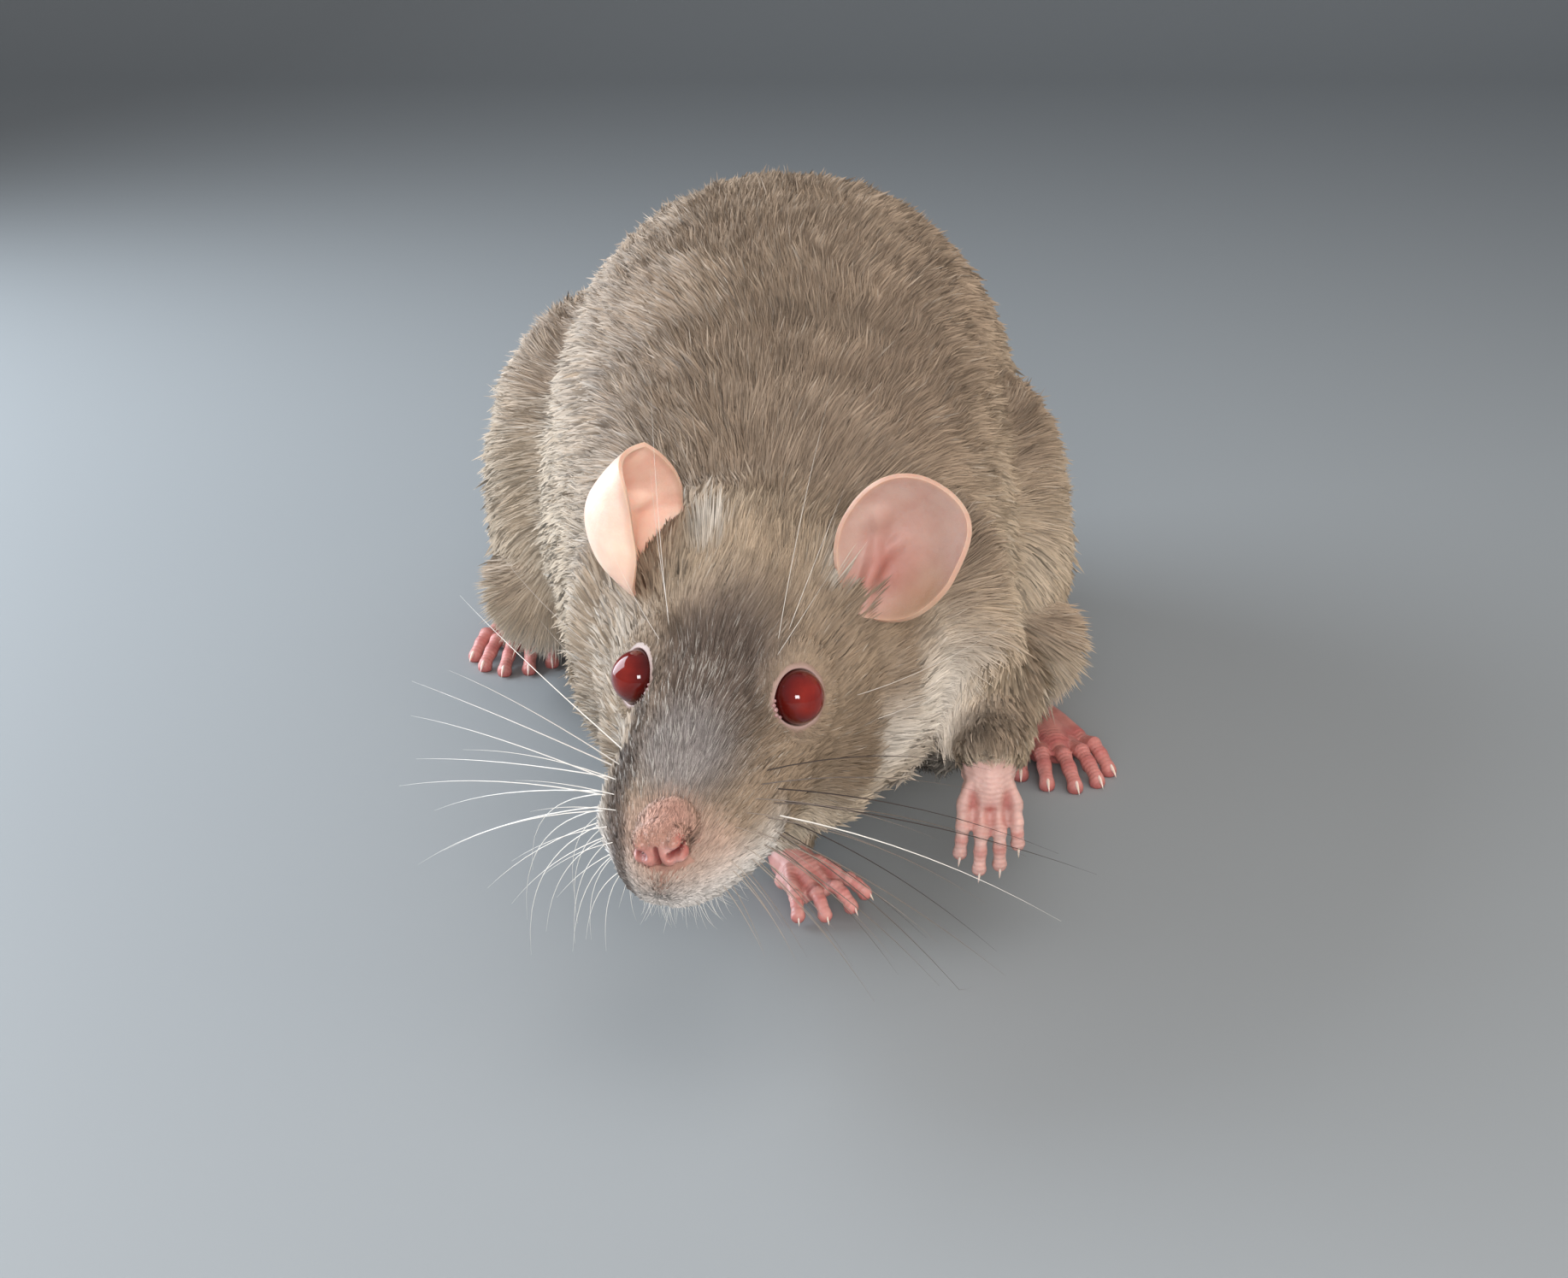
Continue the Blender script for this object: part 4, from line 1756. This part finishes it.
# %% The tapering tree
tapered, source, result = tree_with("tapered hairs", Steps="Int", Tip="Float")
even = even_curve(tapered, source, source.outputs["Steps"])
spent = geometry_node(tapered, "GeometryNodeSplineParameter").outputs["Factor"]
slimmer = math_node(tapered, "POWER", math_node(tapered, "SUBTRACT", 1.0, spent), 0.75)
left_over = math_node(tapered, "MAXIMUM", slimmer, source.outputs["Tip"])
thick = math_node(tapered, "MULTIPLY", attribute_node(tapered, "thick"), left_over)
end_tree(tapered, tube_on(tapered, even, 6, thick), source, result)

# %% Lay out the whiskers
# A pad's columns run ahead and its rows run down from the first whisker's place.
COLUMN_LENGTHS = (44, 38, 30, 22, 15, 10)
ROW_SHARES = (0.75, 1.0, 1.0, 0.85, 0.62)
LONG_ROWS = (1, 2, 3)
PAD_AHEAD, PAD_UP = 12.0, -2.6
COLUMN_AHEAD, COLUMN_DOWN = 2.3, 0.35
ROW_AHEAD, ROW_DOWN = 0.5, 2.1
DROOP_AND_CLIMB = {RIGHT: (-0.24, 0.36), LEFT: (-0.34, 0.22)}
skin_tree = BVHTree.FromPolygons(
    workshop(read_points(skin.data)).tolist(), [tuple(face.vertices) for face in skin.data.polygons]
)


def on_skin(spot, way):
    """The point of the skin that a ray from a spot meets, both in the head's frame."""
    start = from_head([spot])[0]
    heading = from_head([np.array(spot) + np.array(way)])[0] - start
    hit = skin_tree.ray_cast(Vector(start), Vector(heading))[0]
    return to_head(np.array([hit if hit is not None else start]))[0]


def hair_route(root, way, bend, length):
    """A hair in the head's frame that leaves its root along a way and bends more and more."""
    t = np.linspace(-HAIR_ROOT / length, 1, HAIR_STEPS)[:, None]
    sweep = unit(np.array(way, float)) * t + np.array(bend) * t * np.abs(t)
    return place(from_head(np.array(root) + length * sweep))


def whisker_pad(side, rng):
    """Routes, thicknesses and tones of the whiskers of one pad, row by row."""
    hairs = []
    droop, climb = DROOP_AND_CLIMB[side]
    for row, row_share in enumerate(ROW_SHARES):
        for column in range(6 if row in LONG_ROWS else 5):
            ahead = PAD_AHEAD + COLUMN_AHEAD * column + ROW_AHEAD * (row % 2)
            root = on_skin((ahead, 20 * side, PAD_UP - ROW_DOWN * row - COLUMN_DOWN * column), (0, -side, 0))
            rise = climb - 0.29 * row - 0.05 * column
            way = np.array([-0.42 + 0.16 * column, 0.95 * side, rise]) + rng.normal(0, 0.05, 3)
            bend = np.array([-0.16, -0.05 * side, droop - 0.03 * column]) + rng.normal(0, 0.03, 3)
            if side == RIGHT and row >= 3:
                bend += np.array(LOW_CURL)
            length = COLUMN_LENGTHS[column] * row_share * rng.uniform(0.85, 1.1)
            dark = (1.0 if side == LEFT else 0.3) - 0.10 * column - (0.1 * row if side == RIGHT else 0)
            if rng.random() < WHITE_SHARE:
                dark = 0.0
            thick = WHISKER_THICKNESS + WHISKER_BY_LENGTH * length
            hairs.append((hair_route(root, way, bend, length), thick, max(dark, 0)))
    return hairs


HAIR_ROOT, HAIR_STEPS = 0.8, 9
HAIR_RINGS, HAIR_TIP = 18, 0.12
LOW_CURL = (0.05, 0.28, -0.22)
WHISKER_THICKNESS, WHISKER_BY_LENGTH = 0.05, 0.0011
WHITE_SHARE = 0.12
# Brow hairs: place ahead, out and up, way and length. Cheek hairs: place ahead and up, length.
BROW_HAIRS = (
    ((-3.0, 6.8, 12), (-0.15, 0.12, 1), 29), ((-0.5, 7.2, 12), (0.1, 0.5, 1), 14),
    ((-5.5, 7.5, 12), (-0.5, 0.3, 1), 17),
)
CHEEK_HAIRS = ((-9, -6, 22), (-11, -11, 14))
BROW_THICKNESS, CHEEK_THICKNESS, CHIN_THICKNESS = 0.042, 0.05, 0.036
CHIN_TOTAL = 110
rng = np.random.default_rng(77)
hairs = whisker_pad(RIGHT, rng) + whisker_pad(LEFT, rng)
for side in (RIGHT, LEFT):
    for (ahead, out, up), way, length in BROW_HAIRS:
        root = on_skin((ahead, out * side, up), (0, 0, -1))
        route = hair_route(root, (way[0], way[1] * side, way[2]), (-0.2, 0.02 * side, 0), length)
        hairs.append((route, BROW_THICKNESS, 0.15))
    for ahead, up, length in CHEEK_HAIRS:
        root = on_skin((ahead, 30 * side, up), (0, -side, 0))
        route = hair_route(root, (-0.3, side, 0.3), (-0.25, 0, 0.1), length)
        hairs.append((route, CHEEK_THICKNESS, 0.3))
for _ in range(CHIN_TOTAL):
    spot = (rng.uniform(12, 27), rng.uniform(-5, 5), -30)
    root = on_skin(spot, (0, 0, 1))
    way = (rng.normal(0.0, 0.2), rng.normal(0.08 * spot[1], 0.2), -1)
    route = hair_route(root, way, (-0.3, 0, 0.05), rng.uniform(3.5, 8))
    hairs.append((route, CHIN_THICKNESS, 0.0))
whiskers = path_host(
    "whiskers", [route for route, _, _ in hairs],
    thick=np.repeat([thick * MM for _, thick, _ in hairs], HAIR_STEPS),
    tone=np.repeat([tone for _, _, tone in hairs], HAIR_STEPS),
)
grown(whiskers, tapered, Steps=HAIR_RINGS, Tip=HAIR_TIP, Material=hair)
rest_on_floor(whiskers)
finish_piece(whiskers, hair, "fur")
